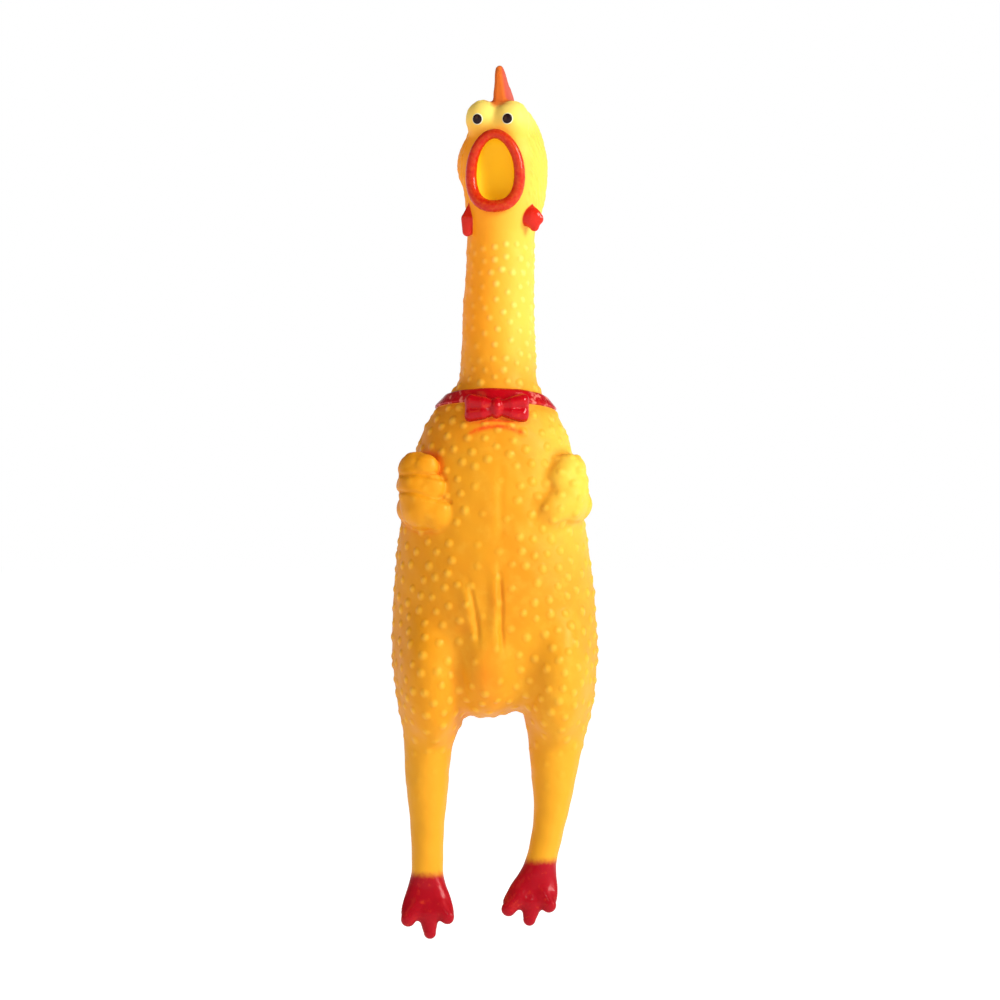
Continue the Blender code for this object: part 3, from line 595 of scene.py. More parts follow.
def draw_surface(field):
    """Points and quads over the field's zero, one point in each grid cell that it crosses."""
    inside = field < 0
    size = np.array(field.shape) - 1
    count = np.zeros(size, np.uint8)
    corners = [(a, b, c) for a in (0, 1) for b in (0, 1) for c in (0, 1)]
    for a, b, c in corners:
        count += inside[a : size[0] + a, b : size[1] + b, c : size[2] + c]
    active = (count > 0) & (count < 8)
    cells = np.argwhere(active)
    number = np.full(size, -1, np.int32)
    number[active] = np.arange(len(cells))
    total, crossings = np.zeros((len(cells), 3)), np.zeros(len(cells))
    for corner in corners:
        for axis in range(3):
            if corner[axis]:
                continue
            ahead = np.array(corner)
            ahead[axis] = 1
            start, end = field[tuple((cells + corner).T)], field[tuple((cells + ahead).T)]
            crossed = (start < 0) != (end < 0)
            point = np.tile(np.array(corner, float), (len(cells), 1))
            point[:, axis] += start / np.where(crossed, start - end, 1)
            total[crossed] += point[crossed]
            crossings[crossed] += 1
    points = GRID_LOW + STEP * (cells + total / crossings[:, None])
    return points, np.concatenate([quads_across(inside, number, axis) for axis in range(3)])


def quads_across(inside, number, axis):
    """The quads that cross grid edges along an axis, facing out."""
    first, second = [slice(None)] * 3, [slice(None)] * 3
    first[axis], second[axis] = slice(0, -1), slice(1, None)
    starts_inside = inside[tuple(first)]
    edges = np.argwhere(starts_inside != inside[tuple(second)])
    u, v = np.zeros(3, int), np.zeros(3, int)
    u[(axis + 1) % 3], v[(axis + 2) % 3] = 1, 1
    around = [edges - u - v, edges - v, edges, edges - u]
    quads = np.stack([number[tuple(cell.T)] for cell in around], axis=1)
    turned = ~starts_inside[tuple(edges.T)]
    quads[turned] = quads[turned][:, ::-1]
    return quads


def distance_to_path(path, u, v):
    """How far each (u, v) is from a chain of straight lines."""
    best = np.inf
    for (u0, v0), (u1, v1) in zip(path, path[1:]):
        eu, ev = u1 - u0, v1 - v0
        t = np.clip(((u - u0) * eu + (v - v0) * ev) / (eu * eu + ev * ev), 0, 1)
        best = np.minimum(best, np.hypot(u - u0 - t * eu, v - v0 - t * ev))
    return best


def fold_relief(x, z):
    """Each fold is a groove with a soft ridge to the left of it."""
    total = np.zeros(len(x))
    for path, depth, width in FOLDS:
        levels, places = np.array(path).T
        across = (x - np.interp(z, levels, places)) / width
        ends = ramp(z, levels[0], levels[0] + 9) * (1 - ramp(z, levels[-1] - 14, levels[-1]))
        ridge, groove = 0.9 * bell(across + 2.0, 2.0), bell(across - 0.3, 0.95)
        total += ends * depth * (ridge - groove)
    return total


def feather_relief(x, z):
    """Each line is a groove with a slight swelling on both sides."""
    total = np.zeros(len(x))
    for line, depth, width in WING_LINES:
        gap = distance_to_path(line, x, z)
        total += depth * (0.35 * bell(gap, 2.4) - bell(gap, width))
    return total


def tree_of(points):
    tree = KDTree(len(points))
    for i, point in enumerate(points):
        tree.insert(point, i)
    tree.balance()
    return tree


def scatter(points, tree, spacing, rng):
    """Well spread choices among the points, each at its own spacing. A spacing of 0 leaves a point out."""
    free = spacing > 0
    chosen = []
    for i in rng.permutation(np.flatnonzero(free)):
        if free[i]:
            chosen.append(i)
            for _, j, _ in tree.find_range(points[i], spacing[i]):
                free[j] = False
    return chosen


class Skin:
    """The mesh's points with all that is worked out on them."""

    def __init__(self):
        points, self.quads = draw_surface(field_on_grid(PARTS))
        self.points, self.normals = settle(points)
        self.rng = np.random.default_rng(SEED)
        self.margins = {}
        self.measure_parts()
        self.height = np.zeros(len(self.points))
        self.slope = np.zeros_like(self.points)
        self.dot = np.zeros(len(self.points))
        self.hollow = self.find_hollows()
        self.overspray = self.find_shadow_below_bow()
        self.add_creases()
        self.tree = tree_of(self.points)
        self.add_pimples()
        self.add_feather_strokes()
        tangent = self.slope - self.normals * (self.slope * self.normals).sum(1)[:, None]
        self.placed = self.points + self.normals * self.height[:, None]
        self.placed_normals = unit(self.normals - tangent)

    def measure_parts(self):
        """How far inside each part a point lies, and so which part it belongs to."""
        p = self.points
        core = field_at(p, CORE)
        raised = ("left_wing", "right_wing", "collar_band", "comb", "left_wattle", "right_wattle", "tail")
        for name in raised:
            self.margins[name] = core - BY_NAME[name].shape(*p.T)
        under_bow = np.minimum(core, BY_NAME["collar_band"].shape(*p.T))
        for name in ("bow_left_loop", "bow_right_loop", "bow_knot"):
            self.margins[name] = under_bow - BY_NAME[name].shape(*p.T)
        lip_gap = BY_NAME["mouth_lip"].shape(*p.T)
        lip_edge, bowl_edge, mouth_low, far_outside = 0.12, 0.6, 254, -9.0
        self.margins["mouth_lip"] = lip_edge - lip_gap
        bowl = np.minimum(BY_NAME["mouth_lining"].shape(*p.T), BY_NAME["throat"].shape(*p.T))
        lining = np.minimum(bowl_edge - bowl, lip_gap - lip_edge)
        self.margins["mouth_lining"] = np.where(p[:, 2] > mouth_low, lining, far_outside)

    def inside(self, *names):
        return np.max([self.margins[name] for name in names], axis=0)

    def find_hollows(self):
        """How shut in each point is, 0 in the open and 1 in a deep crease; the material paints shade there.
        The belly's pouch between the thighs counts, as painted shade too.
        """
        reach = 2.4
        room = field_at(self.points + self.normals * reach)
        x, y, z = self.points.T
        pouch_x, pouch_z, half_width, half_height = -2, 92, 9, 15
        spread = ((x - pouch_x) / half_width) ** 2 + ((z - pouch_z) / half_height) ** 2
        pouch = np.exp(-spread) * (y < -12)
        apart = 1 - ramp(self.inside("left_wattle", "right_wattle"), -5.0, -2.0)
        return np.clip(np.maximum(1 - room / reach, 0.5 * pouch), 0, 1) * apart

    def find_shadow_below_bow(self):
        """Painted shadow below the bow, from 0 to 1: a reddish haze with two darker lines."""
        x, y, z = self.points.T
        aside = np.abs(x - BOW_X)
        mist = 0.5 * bell(z - 184.5, 2.4) * (1 - ramp(aside, 8, 12))
        for level, sag, width, reach in ((181.3, 0.028, 0.9, 9.5), (183.4, 0.02, 0.6, 6.5)):
            line = bell(z - level + sag * aside**2, width)
            mist = np.maximum(mist, line * (1 - ramp(aside, reach - 2, reach + 2)))
        return mist * (y < -8)

    def add_relief(self, function):
        self.height += function(self.points)
        self.slope += slope_of(function, self.points, 0.08)

    def add_creases(self):
        """The folds, the feathers' edges, and a slight unevenness all over but the face."""
        phases = self.rng.uniform(0, 2 * math.pi, 6)
        throat, comb = 250, 298

        def relief(p):
            x, y, z = p.T
            front = ramp(-y, 4.0, 12.0)
            waves = np.sin(x / 2.9 + phases[0]) * np.sin(z / 3.7 + phases[1]) * np.sin(y / 3.1 + phases[2])
            waves += np.sin(x / 1.7 + z / 4.1 + phases[3]) * np.sin(z / 2.3 - y / 3.3 + phases[4])
            uneven = 0.10 * waves * (ramp(throat - z, 0, 8) + 1.4 * ramp(z, comb, comb + 3))
            return front * (fold_relief(x, z) + feather_relief(x, z)) + uneven

        self.add_relief(relief)

    def add_bumps(self, places, radii, heights, along=None, stretch=1.0):
        """A round bump at each place, or one drawn out along a direction."""
        same_side, full_highlight_height = 0.2, 0.5
        for k, i in enumerate(places):
            reach = radii[k] * stretch
            near = np.array([j for _, j, _ in self.tree.find_range(self.points[i], reach)], int)
            near = near[self.normals[near] @ self.normals[i] > same_side]
            offset = self.points[near] - self.points[i]
            metric = np.eye(3) / radii[k] ** 2
            if along is not None:
                way = along[k]
                metric = metric - np.outer(way, way) * (1 - 1 / stretch**2) / radii[k] ** 2
            left = 1 - np.einsum("ij,jk,ik->i", offset, metric, offset)
            used = left > 0
            near, offset, left = near[used], offset[used], left[used]
            self.height[near] += heights[k] * left**2
            self.slope[near] += -4 * heights[k] * left[:, None] * (offset @ metric)
            # dot: how much of the painted highlight a bump's top gets.
            self.dot[near] = np.maximum(self.dot[near], left**1.5 * min(1, heights[k] / full_highlight_height))

    def add_pimples(self):
        """The plucked skin: small on the neck, larger on the body, few down the belly and none on paint."""
        on_neck, on_body, on_legs, down_belly = 3.9, 4.75, 5.2, 2.6  # how far apart they are
        shins, knees, throat = 44, 76, 246
        x, y, z = self.points.T
        neck = z > NECK_START
        # 1 down the belly's middle
        belly = ramp(-y, 8, 16) * ramp(9.5 - np.abs(x + 1.5), 0, 5) * ramp(z, 84, 94) * ramp(172 - z, 0, 10)
        spacing = np.where(neck, on_neck, on_body) + belly * down_belly
        spacing = np.where(z < knees, on_legs, spacing)
        painted = self.inside(*BOW_PIECES)
        spacing[(z > throat) | (z < shins) | (painted > -1.5) | (self.hollow > 0.6)] = 0
        places = scatter(self.points, self.tree, spacing, self.rng)
        x, y, z = self.points[places].T
        size = self.rng.uniform(0.88, 1.12, len(places))
        radii = np.where(neck[places], 1.6, 1.95) * size
        fade = ramp(z, 46, 92) * 0.85 + 0.15
        on_left_wing = (self.inside("left_wing", "right_wing")[places] > 0) & (x < 0)
        heights = np.where(neck[places], 0.42, 0.52) * fade * size * np.where(on_left_wing, 0.35, 1)
        heights *= 1 - 0.45 * belly[places]
        smooth = ramp(z, 196, 206) * ramp(2 - x, 0, 9) * ramp(6 - y, 0, 8)  # 1 on the neck's left front
        heights *= 1 - 0.6 * smooth
        self.add_bumps(places, radii, heights)

    def add_feather_strokes(self):
        """Short slanting strokes on the cheeks and the back of the head, as on a feathered crown."""
        apart, cheek_bottom, face, paint_gap = 1.9, 253, -9.5, 0.8
        radius, stretch = 0.85, 2.6
        x, y, z = self.points.T
        ahead = to_head(x, y)[1]
        spacing = np.full(len(x), apart)
        painted = self.inside("mouth_lip", "mouth_lining", "comb", "left_wattle", "right_wattle")
        spacing[(z < cheek_bottom) | (ahead < face) | (painted > -paint_gap)] = 0
        places = scatter(self.points, self.tree, spacing, self.rng)
        p, n = self.points[places], self.normals[places]
        centre = np.array([HEAD_X, 0, 272.0])
        out = unit((p - centre) * (1, 1, 0))
        side = np.sign((p - centre) @ np.array([math.cos(HEAD_TURN), math.sin(HEAD_TURN), 0]))
        back = np.stack([-out[:, 1], out[:, 0], np.zeros(len(p))], 1) * side[:, None]
        way = back * 0.45 - np.array([0, 0, 1.0])
        way = unit(way - n * (way * n).sum(1)[:, None])
        heights = self.rng.uniform(0.16, 0.28, len(places))
        # dot holds the pimples' painted highlight; strokes get none.
        before = self.dot.copy()
        self.add_bumps(places, np.full(len(places), radius), heights, way, stretch)
        self.dot = before  # strokes aren't lighter, as pimples are


# -------------------- the paint


BOW_RED = (0.42, 0.001, 0.006)
LIP_RED = (0.50, 0.009, 0.003)
WATTLE_RED = (0.58, 0.018, 0.008)
FOOT_RED = (0.34, 0.003, 0.010)
COMB_RED = (0.67, 0.150, 0.022)
# Painted light on the comb's right side.
COMB_LIT_PINK = (0.50, 0.075, 0.052)


def paint_of(skin):
    """How far inside paint each point is, in widths of the paint's edge, and its colour and gloss there."""
    x, y, z = skin.points.T
    coats = [
        (skin.inside(*BOW_PIECES), 0.22, BOW_RED),
        (skin.margins["mouth_lip"], 0.16, LIP_RED),
        (skin.inside("left_wattle", "right_wattle") - 0.1, 0.3, WATTLE_RED),
        (skin.margins["comb"] + 0.3, 1.1, COMB_RED),
        (np.where(x < 0, FOOT_PAINT["left"], FOOT_PAINT["right"]) - z, 1.7, FOOT_RED),
    ]
    depth = np.full(len(x), -50.0)  # far from all paint
    colour = np.tile(np.array(BOW_RED), (len(x), 1))
    for margin, edge, red in coats:
        share = margin / edge
        on_it = share > depth
        depth[on_it] = share[on_it]
        colour[on_it] = red
    # Painted light: the comb pink on the side facing the viewer's right, where the light falls.
    comb = skin.margins["comb"] > -1.5
    side = skin.normals @ (math.cos(HEAD_TURN), math.sin(HEAD_TURN), 0)
    lit_side = ramp(side, 0.35, 1.05)[:, None]
    colour[comb] = (np.array(COMB_RED) * (1 - lit_side) + np.array(COMB_LIT_PINK) * lit_side)[comb]
    gloss = np.where(comb, 0.1, np.where(z < 40, 0.45, 1.0))[:, None]
    return depth, np.hstack([colour, gloss])


# -------------------- pieces


TORSO_PIECES = ("left_wing", "right_wing", "tail", *BOW_PIECES)
HEAD_PIECES = ("comb", "left_wattle", "right_wattle", "mouth_lining", "mouth_lip")


def zone_labels(centres):
    """The stretch of plain skin that each face is in."""
    x, z = centres[:, 0], centres[:, 2]
    labels = np.full(len(centres), "torso_skin", dtype=object)
    for name, (low, high) in NECK_CUTS.items():
        labels[(z > low) & (z <= high)] = f"{name}_skin"
    labels[z > NECK_CUTS["neck_top"][1]] = "head_skin"
    for side, cuts in LEG_CUTS.items():
        mine = (x < 0) == (side == "left")
        for name, (low, high) in cuts.items():
            labels[mine & (z > low) & (z <= high)] = f"{side}_{name}_skin"
        labels[mine & (z <= cuts["ankle"][0])] = f"{side}_foot_skin"
    return labels


def label_faces(skin):
    """The piece that each face belongs to."""
    labels = zone_labels(skin.points[skin.quads].mean(1))
    torso, head = labels == "torso_skin", labels == "head_skin"
    for names, zone in ((TORSO_PIECES, torso), (HEAD_PIECES, head)):
        for name in names:
            inside = skin.margins[name][skin.quads].mean(1) > 0
            labels[inside & zone] = f"{name}_skin"
    return labels


def add_object(name, data):
    obj = bpy.data.objects.new(name, data)
    bpy.context.scene.collection.objects.link(obj)
    return obj


def make_piece(name, skin, faces, paint, colour, finish):
    """One piece of the skin as an object, with its normals and the values its material reads."""
    used, quads = np.unique(skin.quads[faces], return_inverse=True)
    quads = quads.reshape(-1, 4)
    mesh = bpy.data.meshes.new(name)
    places = (skin.placed[used] - (0, 0, LIFT)) * MM
    mesh.from_pydata(places.tolist(), [], quads.tolist())
    mesh.shade_smooth()
    values = {
        "paint": paint[used],
        "dot": skin.dot[used],
        "hollow": skin.hollow[used],
        # the painted shadow under the bow
        "mist": skin.overspray[used],
        "lining": skin.margins["mouth_lining"][used],
    }
    for key, numbers in values.items():
        mesh.attributes.new(key, "FLOAT", "POINT").data.foreach_set("value", numbers.astype(np.float32))
    rgba = colour[used].astype(np.float32).ravel()
    mesh.attributes.new("coat", "FLOAT_COLOR", "POINT").data.foreach_set("color", rgba)
    mesh.normals_split_custom_set_from_vertices(skin.placed_normals[used].tolist())
    mesh.materials.append(finish)
    return add_object(name, mesh)


def bending_pieces():
    """The bodies that each bending piece joins, and the heights where it starts and ends to bend."""
    found = {}
    order = ["torso", "lower_neck", "middle_neck", "head"]
    for k, (name, (low, high)) in enumerate(NECK_CUTS.items()):
        found[f"{name}_skin"] = (order[k], order[k + 1], low + SEAM_MARGIN, high - SEAM_MARGIN)
    for side, cuts in LEG_CUTS.items():
        order = ["torso", f"{side}_thigh", f"{side}_shin", f"{side}_foot"]
        for k, (name, (low, high)) in enumerate(cuts.items()):
            found[f"{side}_{name}_skin"] = (order[k], order[k + 1], high - SEAM_MARGIN, low + SEAM_MARGIN)
    return found


REPLACED = {
    "torso_skin": ["breast_shell", "back_shell", "belly_panel", "belly_flex_ring"],
    "neck_base_skin": ["neck_base_sleeve"],
    "neck_middle_skin": ["lower_neck_ring", "neck_middle_sleeve"],
    "neck_top_skin": ["middle_neck_ring", "neck_top_sleeve"],
    "head_skin": ["upper_neck_tube", "head_shell"],
}
for leg_side, _ in SIDES:
    REPLACED[f"{leg_side}_hip_skin"] = [f"{leg_side}_hip_sleeve"]
    REPLACED[f"{leg_side}_knee_skin"] = [f"{leg_side}_thigh_tube", f"{leg_side}_knee_sleeve"]
    REPLACED[f"{leg_side}_ankle_skin"] = [f"{leg_side}_shin_tube", f"{leg_side}_ankle_sleeve"]


def place_piece(obj):
    """Rides a piece on its body or leaves it where it is, and hides the CAD nodes that it stands for."""
    name = obj.name
    blends = bending_pieces()
    if name in blends:
        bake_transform(obj)
    elif name == "head_skin" or name.replace("_skin", "") in HEAD_PIECES:
        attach(obj, "head")
    elif "foot" in name:
        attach(obj, name.replace("_skin", ""))
    else:
        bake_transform(obj)
    nodes = REPLACED.get(name, [name.replace("_skin", "")])
    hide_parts(*nodes)


def make_skin(finish):
    skin = Skin()
    paint, colour = paint_of(skin)
    labels = label_faces(skin)
    for name in sorted(set(labels)):
        place_piece(make_piece(name, skin, labels == name, paint, colour, finish))


def make_eye_disc(name, centre, radius, lift, finish):
    """A round drop of gloss paint on the eye's dome, thick in the middle and thin at its edge."""
    rings, sides, edge_sink, before_face = 9, 40, 0.1, -16.0
    x, y = from_head(centre[0], before_face)
    middle, normal = settle(march(np.array([[x, y, centre[1]]])), 3)
    across = unit(np.cross(normal, [[0, 0, 1.0]]))
    up = np.cross(across, normal)
    points = [middle[0] + normal[0] * lift]
    for k in range(1, rings + 1):
        share = k / rings
        ring = []
        for i in range(sides):
            angle = 2 * math.pi * i / sides
            step = (across[0] * math.cos(angle) + up[0] * math.sin(angle)) * radius * share
            ring.append(middle[0] + step)
        ring, normals = settle(np.array(ring), 3)
        points += list(ring + normals * (lift * (1 - share**3) ** 0.6 - edge_sink * (k == rings)))
    faces = [(0, 1 + (i + 1) % sides, 1 + i) for i in range(sides)]
    for k in range(rings - 1):
        a, b = 1 + k * sides, 1 + (k + 1) * sides
        faces += [(a + i, a + (i + 1) % sides, b + (i + 1) % sides, b + i) for i in range(sides)]
    mesh = bpy.data.meshes.new(name)
    mesh.from_pydata([tuple((p - (0, 0, LIFT)) * MM) for p in points], [], faces)
    mesh.shade_smooth()
    mesh.materials.append(finish)
    obj = add_object(f"{name}_gloss", mesh)
    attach(obj, "head")
    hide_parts(name)


def march(points):
    """Moves a point back along +Y until it meets the surface."""
    rounds, care = 60, 0.7
    for _ in range(rounds):
        points = points + [[0, care * float(field_at(points)[0]), 0]]
    return points


def make_eyes(white, black):
    for side, eye in EYES.items():
        x, z = eye["pupil"]
        make_eye_disc(f"{side}_eye_white", (x + 0.05, z + 0.05), radius=2.30, lift=0.10, finish=white)
        make_eye_disc(f"{side}_pupil", (x, z), radius=1.93, lift=0.34, finish=black)


# -------------------- materials


class Graph:
    """The nodes of a material or a world, added one by one."""

    def __init__(self, owner, shader="Principled BSDF", place="Object"):
        owner.use_nodes = True
        self.owner = owner
        self.nodes, self.links = owner.node_tree.nodes, owner.node_tree.links
        self.shader = self.nodes[shader]
        self.place = self.add("ShaderNodeTexCoord").outputs[place]

    def add(self, kind, inputs=None, **settings):
        node = self.nodes.new(kind)
        for key, value in settings.items():
            setattr(node, key, value)
        for key, value in (inputs or {}).items():
            self.plug(value, node.inputs[key])
        return node

    def plug(self, value, socket):
        if isinstance(value, bpy.types.NodeSocket):
            self.links.new(value, socket)
        else:
            socket.default_value = value

    def value(self, name):
        return self.add("ShaderNodeAttribute", attribute_name=name).outputs["Fac"]

    def axis(self, name):
        return self.add("ShaderNodeSeparateXYZ", {"Vector": self.place}).outputs[name]

    def noise(self, size_mm, detail=3.0):
        """Cloudy variation from 0 to 1, with blotches about size_mm across."""
        inputs = {"Vector": self.place, "Scale": 1 / (size_mm * MM), "Detail": detail, "Roughness": 0.55}
        return self.add("ShaderNodeTexNoise", inputs).outputs["Fac"]

    def math(self, operation, *values):
        node = self.add("ShaderNodeMath", operation=operation)
        for k, value in enumerate(values):
            self.plug(value, node.inputs[k])
        return node.outputs[0]

    def times(self, a, b):
        return self.math("MULTIPLY", a, b)

    def band(self, value, low, high, to_low=0.0, to_high=1.0):
        """The value's range from low to high, mapped smoothly."""
        inputs = {"Value": value, "From Min": low, "From Max": high, "To Min": to_low, "To Max": to_high}
        return self.add("ShaderNodeMapRange", inputs, interpolation_type="SMOOTHSTEP").outputs["Result"]

    def mix(self, share, a, b):
        node = self.add("ShaderNodeMix", data_type="RGBA")
        self.plug(share, node.inputs["Factor"])
        for value, socket in ((a, node.inputs[6]), (b, node.inputs[7])):
            self.plug(value if isinstance(value, bpy.types.NodeSocket) else (*value, 1), socket)
        return node.outputs[2]

    def bump(self, height, distance_mm, strength, below=None):
        inputs = {"Height": height, "Distance": distance_mm * MM, "Strength": strength}
        if below is not None:
            inputs["Normal"] = below
        return self.add("ShaderNodeBump", inputs).outputs["Normal"]

    def set(self, **inputs):
        for key, value in inputs.items():
            self.plug(value, self.shader.inputs[key.replace("_", " ")])


YELLOW, DEEP_YELLOW, PALE_YELLOW = (0.69, 0.285, 0.011), (0.67, 0.220, 0.006), (0.82, 0.46, 0.048)
# Painted light and shade: the left yellow and the neck orange are painted shade, the right yellow and the
# neck lemon painted light, the dome lemon a painted highlight.
LEFT_SHADE_YELLOW, RIGHT_LIT_YELLOW, LEG_YELLOW = (0.71, 0.265, 0.005), (0.84, 0.59, 0.075), (0.72, 0.325, 0.017)
NECK_SHADE_ORANGE, NECK_LIT_LEMON, DOME_HIGHLIGHT_LEMON = (0.93, 0.310, 0.003), (0.88, 0.54, 0.078), (0.91, 0.72, 0.17)
# Painted shade for the creases and for the belly's pouch between the thighs.
BODY_CREASE_SHADE, NECK_CREASE_SHADE = (0.76, 0.140, 0.003), (0.95, 0.230, 0.018)
# Painted highlight on the neck's pimples.
NECK_PIMPLE_HIGHLIGHT = (1.0, 0.74, 0.19)
# Painted shadow under the bow.
BOW_SHADE_RED = (0.74, 0.065, 0.006)
# Painted light: the lining far paler than the vinyl, as if lit inside the mouth.
LIT_LINING_YELLOW, LIT_LINING_DEEP = (1.0, 0.62, 0.012), (0.98, 0.57, 0.010)
COLLAR_HEIGHT = 0.0735
# The second is painted shade in the paint's creases, the third a painted highlight along the collar.
THIN_RED, CREASE_SHADE_RED, COLLAR_HIGHLIGHT_PINK = (0.85, 0.09, 0.02), (0.30, 0.0, 0.003), (0.80, 0.26, 0.20)


def vinyl_colour(g, cloud, fine):
    """The bare skin: blotched yellow on the body, with painted shade on its left and painted light on its
    right, from orange to lemon on the neck and the head.
    """
    x, z = g.axis("X"), g.axis("Z")
    upper = g.band(z, 0.070, 0.105)
    skin = g.mix(g.band(cloud, 0.38, 0.64, 0.0, 0.75), YELLOW, DEEP_YELLOW)
    skin = g.mix(g.band(fine, 0.45, 0.75, 0.0, 0.22), skin, PALE_YELLOW)
    # Painted shade: the left side more orange.
    skin = g.mix(g.band(x, -0.006, -0.030, 0.0, 0.6), skin, LEFT_SHADE_YELLOW)
    # Painted light: the right side lemon, more so towards the top.
    right = g.times(g.band(x, 0.008, 0.034), g.band(z, -0.005, 0.06, 0.08, 0.85))
    skin = g.mix(right, skin, RIGHT_LIT_YELLOW)
    skin = g.mix(g.band(z, -0.036, -0.058, 0.0, 0.8), skin, LEG_YELLOW)
    # Painted light and shade: the neck and head orange on the left, lemon on the right and at the top of
    # the head.
    lit_right_and_top = g.math("MAXIMUM", g.band(x, -0.011, 0.017), g.band(z, 0.162, 0.180, 0.0, 0.85))
    skin = g.mix(g.times(upper, 0.85), skin, g.mix(lit_right_and_top, NECK_SHADE_ORANGE, NECK_LIT_LEMON))
    # Painted highlight: lemon on the domes' fronts.
    lit_dome_fronts = g.times(g.band(z, 0.166, 0.176, 0.0, 0.8), g.band(g.axis("Y"), 0.004, -0.005))
    skin = g.mix(lit_dome_fronts, skin, DOME_HIGHLIGHT_LEMON)
    # Painted shade: darker orange in creases and between the thighs.
    shaded_creases = g.times(g.band(g.value("hollow"), 0.12, 0.85, 0.0, 0.75), g.band(upper, 0.0, 1.0, 1.0, 0.6))
    skin = g.mix(shaded_creases, skin, g.mix(upper, BODY_CREASE_SHADE, NECK_CREASE_SHADE))
    # Painted highlight: the pimples' tops paler.
    pimple = g.band(g.value("dot"), 0.0, 1.0, 0.0, 0.5)
    skin = g.mix(pimple, skin, g.mix(upper, PALE_YELLOW, NECK_PIMPLE_HIGHLIGHT))
    # Painted shadow: a reddish haze and two darker lines under the bow.
    mist = g.times(g.value("mist"), g.band(g.noise(1.8), 0.3, 0.6, 0.5, 1.0))
    skin = g.mix(mist, skin, BOW_SHADE_RED)
    # Painted light: the mouth's lining far paler than the vinyl, as if lit inside.
    lining = g.mix(g.band(cloud, 0.3, 0.7), LIT_LINING_YELLOW, LIT_LINING_DEEP)
    return g.mix(g.band(g.value("lining"), -0.3, 0.3), skin, lining)


def enamel_colour(g, red):
    """The red paint: thin in blotches, with painted shade in its creases and painted highlights in streaks
    along the collar's sides.
    """
    paint = g.mix(g.band(g.noise(2.4), 0.55, 0.85, 0.0, 0.35), red, THIN_RED)
    # Painted shade: the paint darker in its creases.
    paint = g.mix(g.band(g.value("hollow"), 0.1, 0.9, 0.0, 0.6), paint, CREASE_SHADE_RED)
    # Painted highlights: pale pink streaks along the collar's sides.
    off_collar = g.math("ABSOLUTE", g.math("ADD", g.axis("Z"), -COLLAR_HEIGHT))
    aside = g.band(g.math("ABSOLUTE", g.axis("X")), 0.0100, 0.0135)
    highlit_streaks = g.times(g.band(off_collar, 0.0045, 0.0030), aside)
    return g.mix(g.times(highlit_streaks, g.band(g.noise(2.8, detail=2), 0.50, 0.66, 0.0, 0.75)), paint, COLLAR_HIGHLIGHT_PINK)


def painted_vinyl():
    """Soft yellow vinyl with painted shade in its creases and painted light and shade on its sides, and
    glossy red paint where the mesh says so.
    """
    g = Graph(bpy.data.materials.new("painted_vinyl"))
    cloud, fine = g.noise(34), g.noise(5.0)
    ragged = g.math("MULTIPLY_ADD", g.noise(1.3), 0.9, -0.45)
    coat = g.band(g.math("ADD", g.value("paint"), ragged), -1.0, 1.0)
    enamel = g.add("ShaderNodeAttribute", attribute_name="coat")
    red, shine = enamel.outputs["Color"], enamel.outputs["Alpha"]
    g.set(Base_Color=g.mix(coat, vinyl_colour(g, cloud, fine), enamel_colour(g, red)))
    g.set(Coat_Weight=g.times(g.times(coat, shine), 0.3), Coat_Roughness=0.08)
    matt = g.band(fine, 0.3, 0.7, 0.40, 0.54)
    gloss = g.math("ADD", g.band(g.noise(3.0), 0.3, 0.7, 0.2, 0.32), g.band(shine, 0.0, 1.0, 0.3, 0.0))
    bare = g.math("SUBTRACT", 1.0, coat)
    g.set(Roughness=g.math("ADD", g.times(coat, gloss), g.times(bare, matt)))
    orange_peel = g.bump(g.noise(1.5, detail=2), 0.05, 0.35)
    leathery = g.bump(g.noise(0.45, detail=4), 0.03, 0.5, orange_peel)
    g.set(Normal=g.bump(coat, 0.06, 0.8, leathery))
    g.set(Subsurface_Weight=0.12, Subsurface_Radius=(1.0, 0.5, 0.12), Subsurface_Scale=1.5 * MM)
    facing = g.add("ShaderNodeLayerWeight", {"Blend": 0.5}).outputs["Facing"]
    g.set(Specular_IOR_Level=g.band(facing, 0.4, 1.0, 0.30, 0.02))
    g.set(Specular_Tint=g.mix(coat, (1.0, 0.84, 0.38), (1.0, 0.12, 0.15)))
    return g.owner


def gloss_paint(name, colour, worn, roughness):
    """A drop of thick enamel, with faint streaks and dust."""
    g = Graph(bpy.data.materials.new(name))
    g.set(Base_Color=g.mix(g.band(g.noise(0.8, detail=4), 0.4, 0.8, 0.0, 0.6), colour, worn))
    g.set(Roughness=g.band(g.noise(0.5), 0.3, 0.8, roughness, roughness + 0.14))
    g.set(Normal=g.bump(g.noise(0.6, detail=2), 0.02, 0.4), Specular_IOR_Level=0.2)
    return g.owner


def squeaker_plastic():
    """Milky moulded polythene with flow marks."""
    g = Graph(bpy.data.materials.new("squeaker_plastic"))
    flow = g.noise(4.0, detail=5)
    g.set(Base_Color=g.mix(g.band(flow, 0.3, 0.7), (0.80, 0.79, 0.73), (0.70, 0.70, 0.66)))
    g.set(Roughness=g.band(g.noise(1.0), 0.3, 0.7, 0.28, 0.42), Normal=g.bump(g.noise(0.5), 0.03, 0.4))
    g.set(Subsurface_Weight=0.2, Subsurface_Scale=1.5 * MM)
    return g.owner


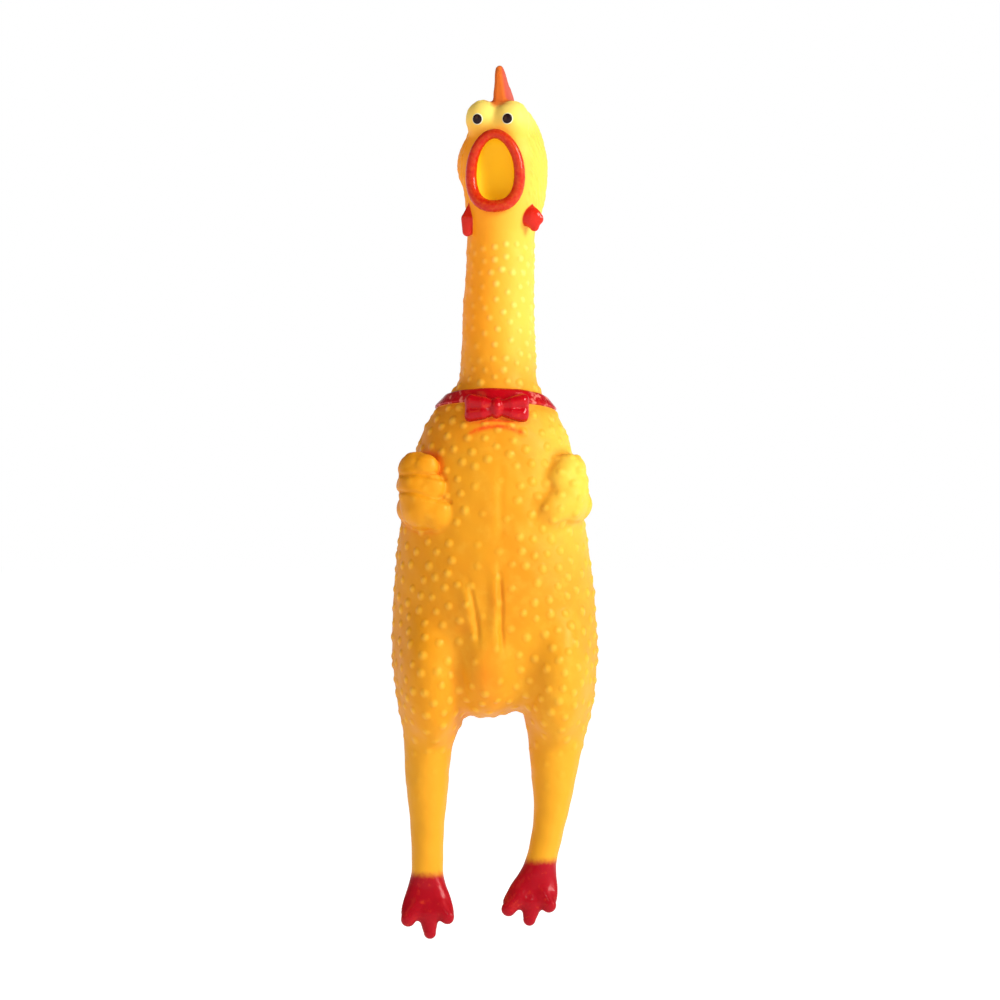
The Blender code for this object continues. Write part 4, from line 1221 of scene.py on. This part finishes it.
def reed_film():
    """Thin clear-blue film with rolling marks."""
    g = Graph(bpy.data.materials.new("reed_film"))
    wave = {"Vector": g.place, "Scale": 900.0, "Distortion": 2.0}
    marks = g.add("ShaderNodeTexWave", wave).outputs["Fac"]
    g.set(Base_Color=g.mix(g.band(marks, 0.2, 0.8, 0.0, 0.4), (0.50, 0.68, 0.78), (0.62, 0.76, 0.84)))
    g.set(Roughness=g.band(marks, 0.0, 1.0, 0.12, 0.24), Normal=g.bump(marks, 0.01, 0.3))
    return g.owner


def dress_squeaker():
    """The squeaker's own CAD pieces stay, in their real finishes."""
    plastic, film = squeaker_plastic(), reed_film()
    for name in ("squeaker_barrel", "squeaker_cap", "tone_board", "reed_clamp", "reed"):
        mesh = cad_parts[name].data
        mesh.materials.clear()
        mesh.materials.append(film if name == "reed" else plastic)


# -------------------- studio


FRAME_WIDTH = 355.5  # what the view spans at the toy, in millimetres
VIEW_CENTRE = (1.1, 155.4)
CAMERA_DISTANCE = 1700.0
SENSOR = 36.0
AIM = Vector((0, 0, 0.04))
LIGHTS = {  # where each is in metres, its size, power and colour
    "key": ((1.05, -0.65, 0.6), 0.5, 20.3, (1.0, 1.0, 0.92)),
    "warm": ((-0.34, -0.34, 0.34), 0.25, 0.42, (1.0, 0.56, 0.14)),
    "front": ((0.1, -1.6, 0.45), 1.4, 1.1, (1.0, 0.97, 0.92)),
    "glint": ((0.2, -1.2, 0.8), 0.08, 0.6, (1.0, 1.0, 1.0)),
}


def make_floor():
    """A pale floor that glows with light of its own, brightest along the strip in front of and behind the
    toy, and far away.
    """
    size, gap_below = 9.0, 1.5
    low = -(LIFT + gap_below) * MM
    mesh = bpy.data.meshes.new("floor")
    corners = [(x * size, y * size, low) for x, y in ((-1, -1), (1, -1), (1, 1), (-1, 1))]
    mesh.from_pydata(corners, [], [(0, 1, 2, 3)])
    g = Graph(bpy.data.materials.new("glowing_floor_paper"))
    shade = g.band(g.noise(300.0), 0.3, 0.7)
    g.set(Base_Color=g.mix(shade, (0.52, 0.52, 0.52), (0.49, 0.49, 0.49)), Roughness=0.9)
    x, y = g.axis("X"), g.axis("Y")
    # The glow: a pool of light, strongest in the strip the camera sees and far off.
    depth = g.math("ADD", g.math("ABSOLUTE", y), CAMERA_DISTANCE * MM)
    aside = g.math("DIVIDE", g.math("ABSOLUTE", x), depth)
    away = g.math("SQRT", g.math("ADD", g.times(x, x), g.times(y, y)))
    glow = g.math("MAXIMUM", g.band(aside, 0.125, 0.7, 0.9, 0.4), g.band(away, 0.45, 1.2, 0.4, 0.9))
    g.set(Normal=g.bump(g.noise(1.2), 0.05, 0.2), Emission_Color=(1, 1, 1, 1), Emission_Strength=glow)
    mesh.materials.append(g.owner)
    floor = add_object("floor", mesh)


def make_world():
    """A white horizon below a dim ceiling."""
    g = Graph(bpy.data.worlds.new("studio"), "Background", "Generated")
    height = g.math("ABSOLUTE", g.axis("Z"))
    g.set(Color=(1, 1, 1, 1), Strength=g.band(height, 0.13, 0.38, 1.0, 0.1))
    bpy.context.scene.world = g.owner


def add_light(name, place, size, power, colour):
    """A soft square light aimed at the toy's middle."""
    light = bpy.data.lights.new(name, "AREA")
    light.size = size
    light.energy = power
    light.color = colour
    obj = add_object(name, light)
    obj.location = place
    obj.rotation_euler = (AIM - obj.location).to_track_quat("-Z", "Y").to_euler()


def make_camera():
    """At the toy's mid height and square to it, far enough back to flatten the view."""
    camera = bpy.data.cameras.new("camera")
    camera.sensor_width = SENSOR
    camera.lens = SENSOR * CAMERA_DISTANCE / FRAME_WIDTH
    camera.clip_end = 20.0
    obj = add_object("camera", camera)
    obj.location = Vector((VIEW_CENTRE[0], -CAMERA_DISTANCE, VIEW_CENTRE[1] - LIFT)) * MM
    obj.rotation_euler = (math.pi / 2, 0, 0)
    bpy.context.scene.camera = obj


def make_studio():
    make_floor()
    make_world()
    for name, settings in LIGHTS.items():
        add_light(name, *settings)
    make_camera()
    bpy.context.scene.view_settings.view_transform = "Standard"


def main():
    make_skin(painted_vinyl())
    white = gloss_paint("eye_white", (0.78, 0.74, 0.55), (0.74, 0.62, 0.34), 0.25)
    black = gloss_paint("pupil_black", (0.012, 0.003, 0.006), (0.04, 0.012, 0.022), 0.14)
    make_eyes(white, black)
    dress_squeaker()
    make_studio()


main()
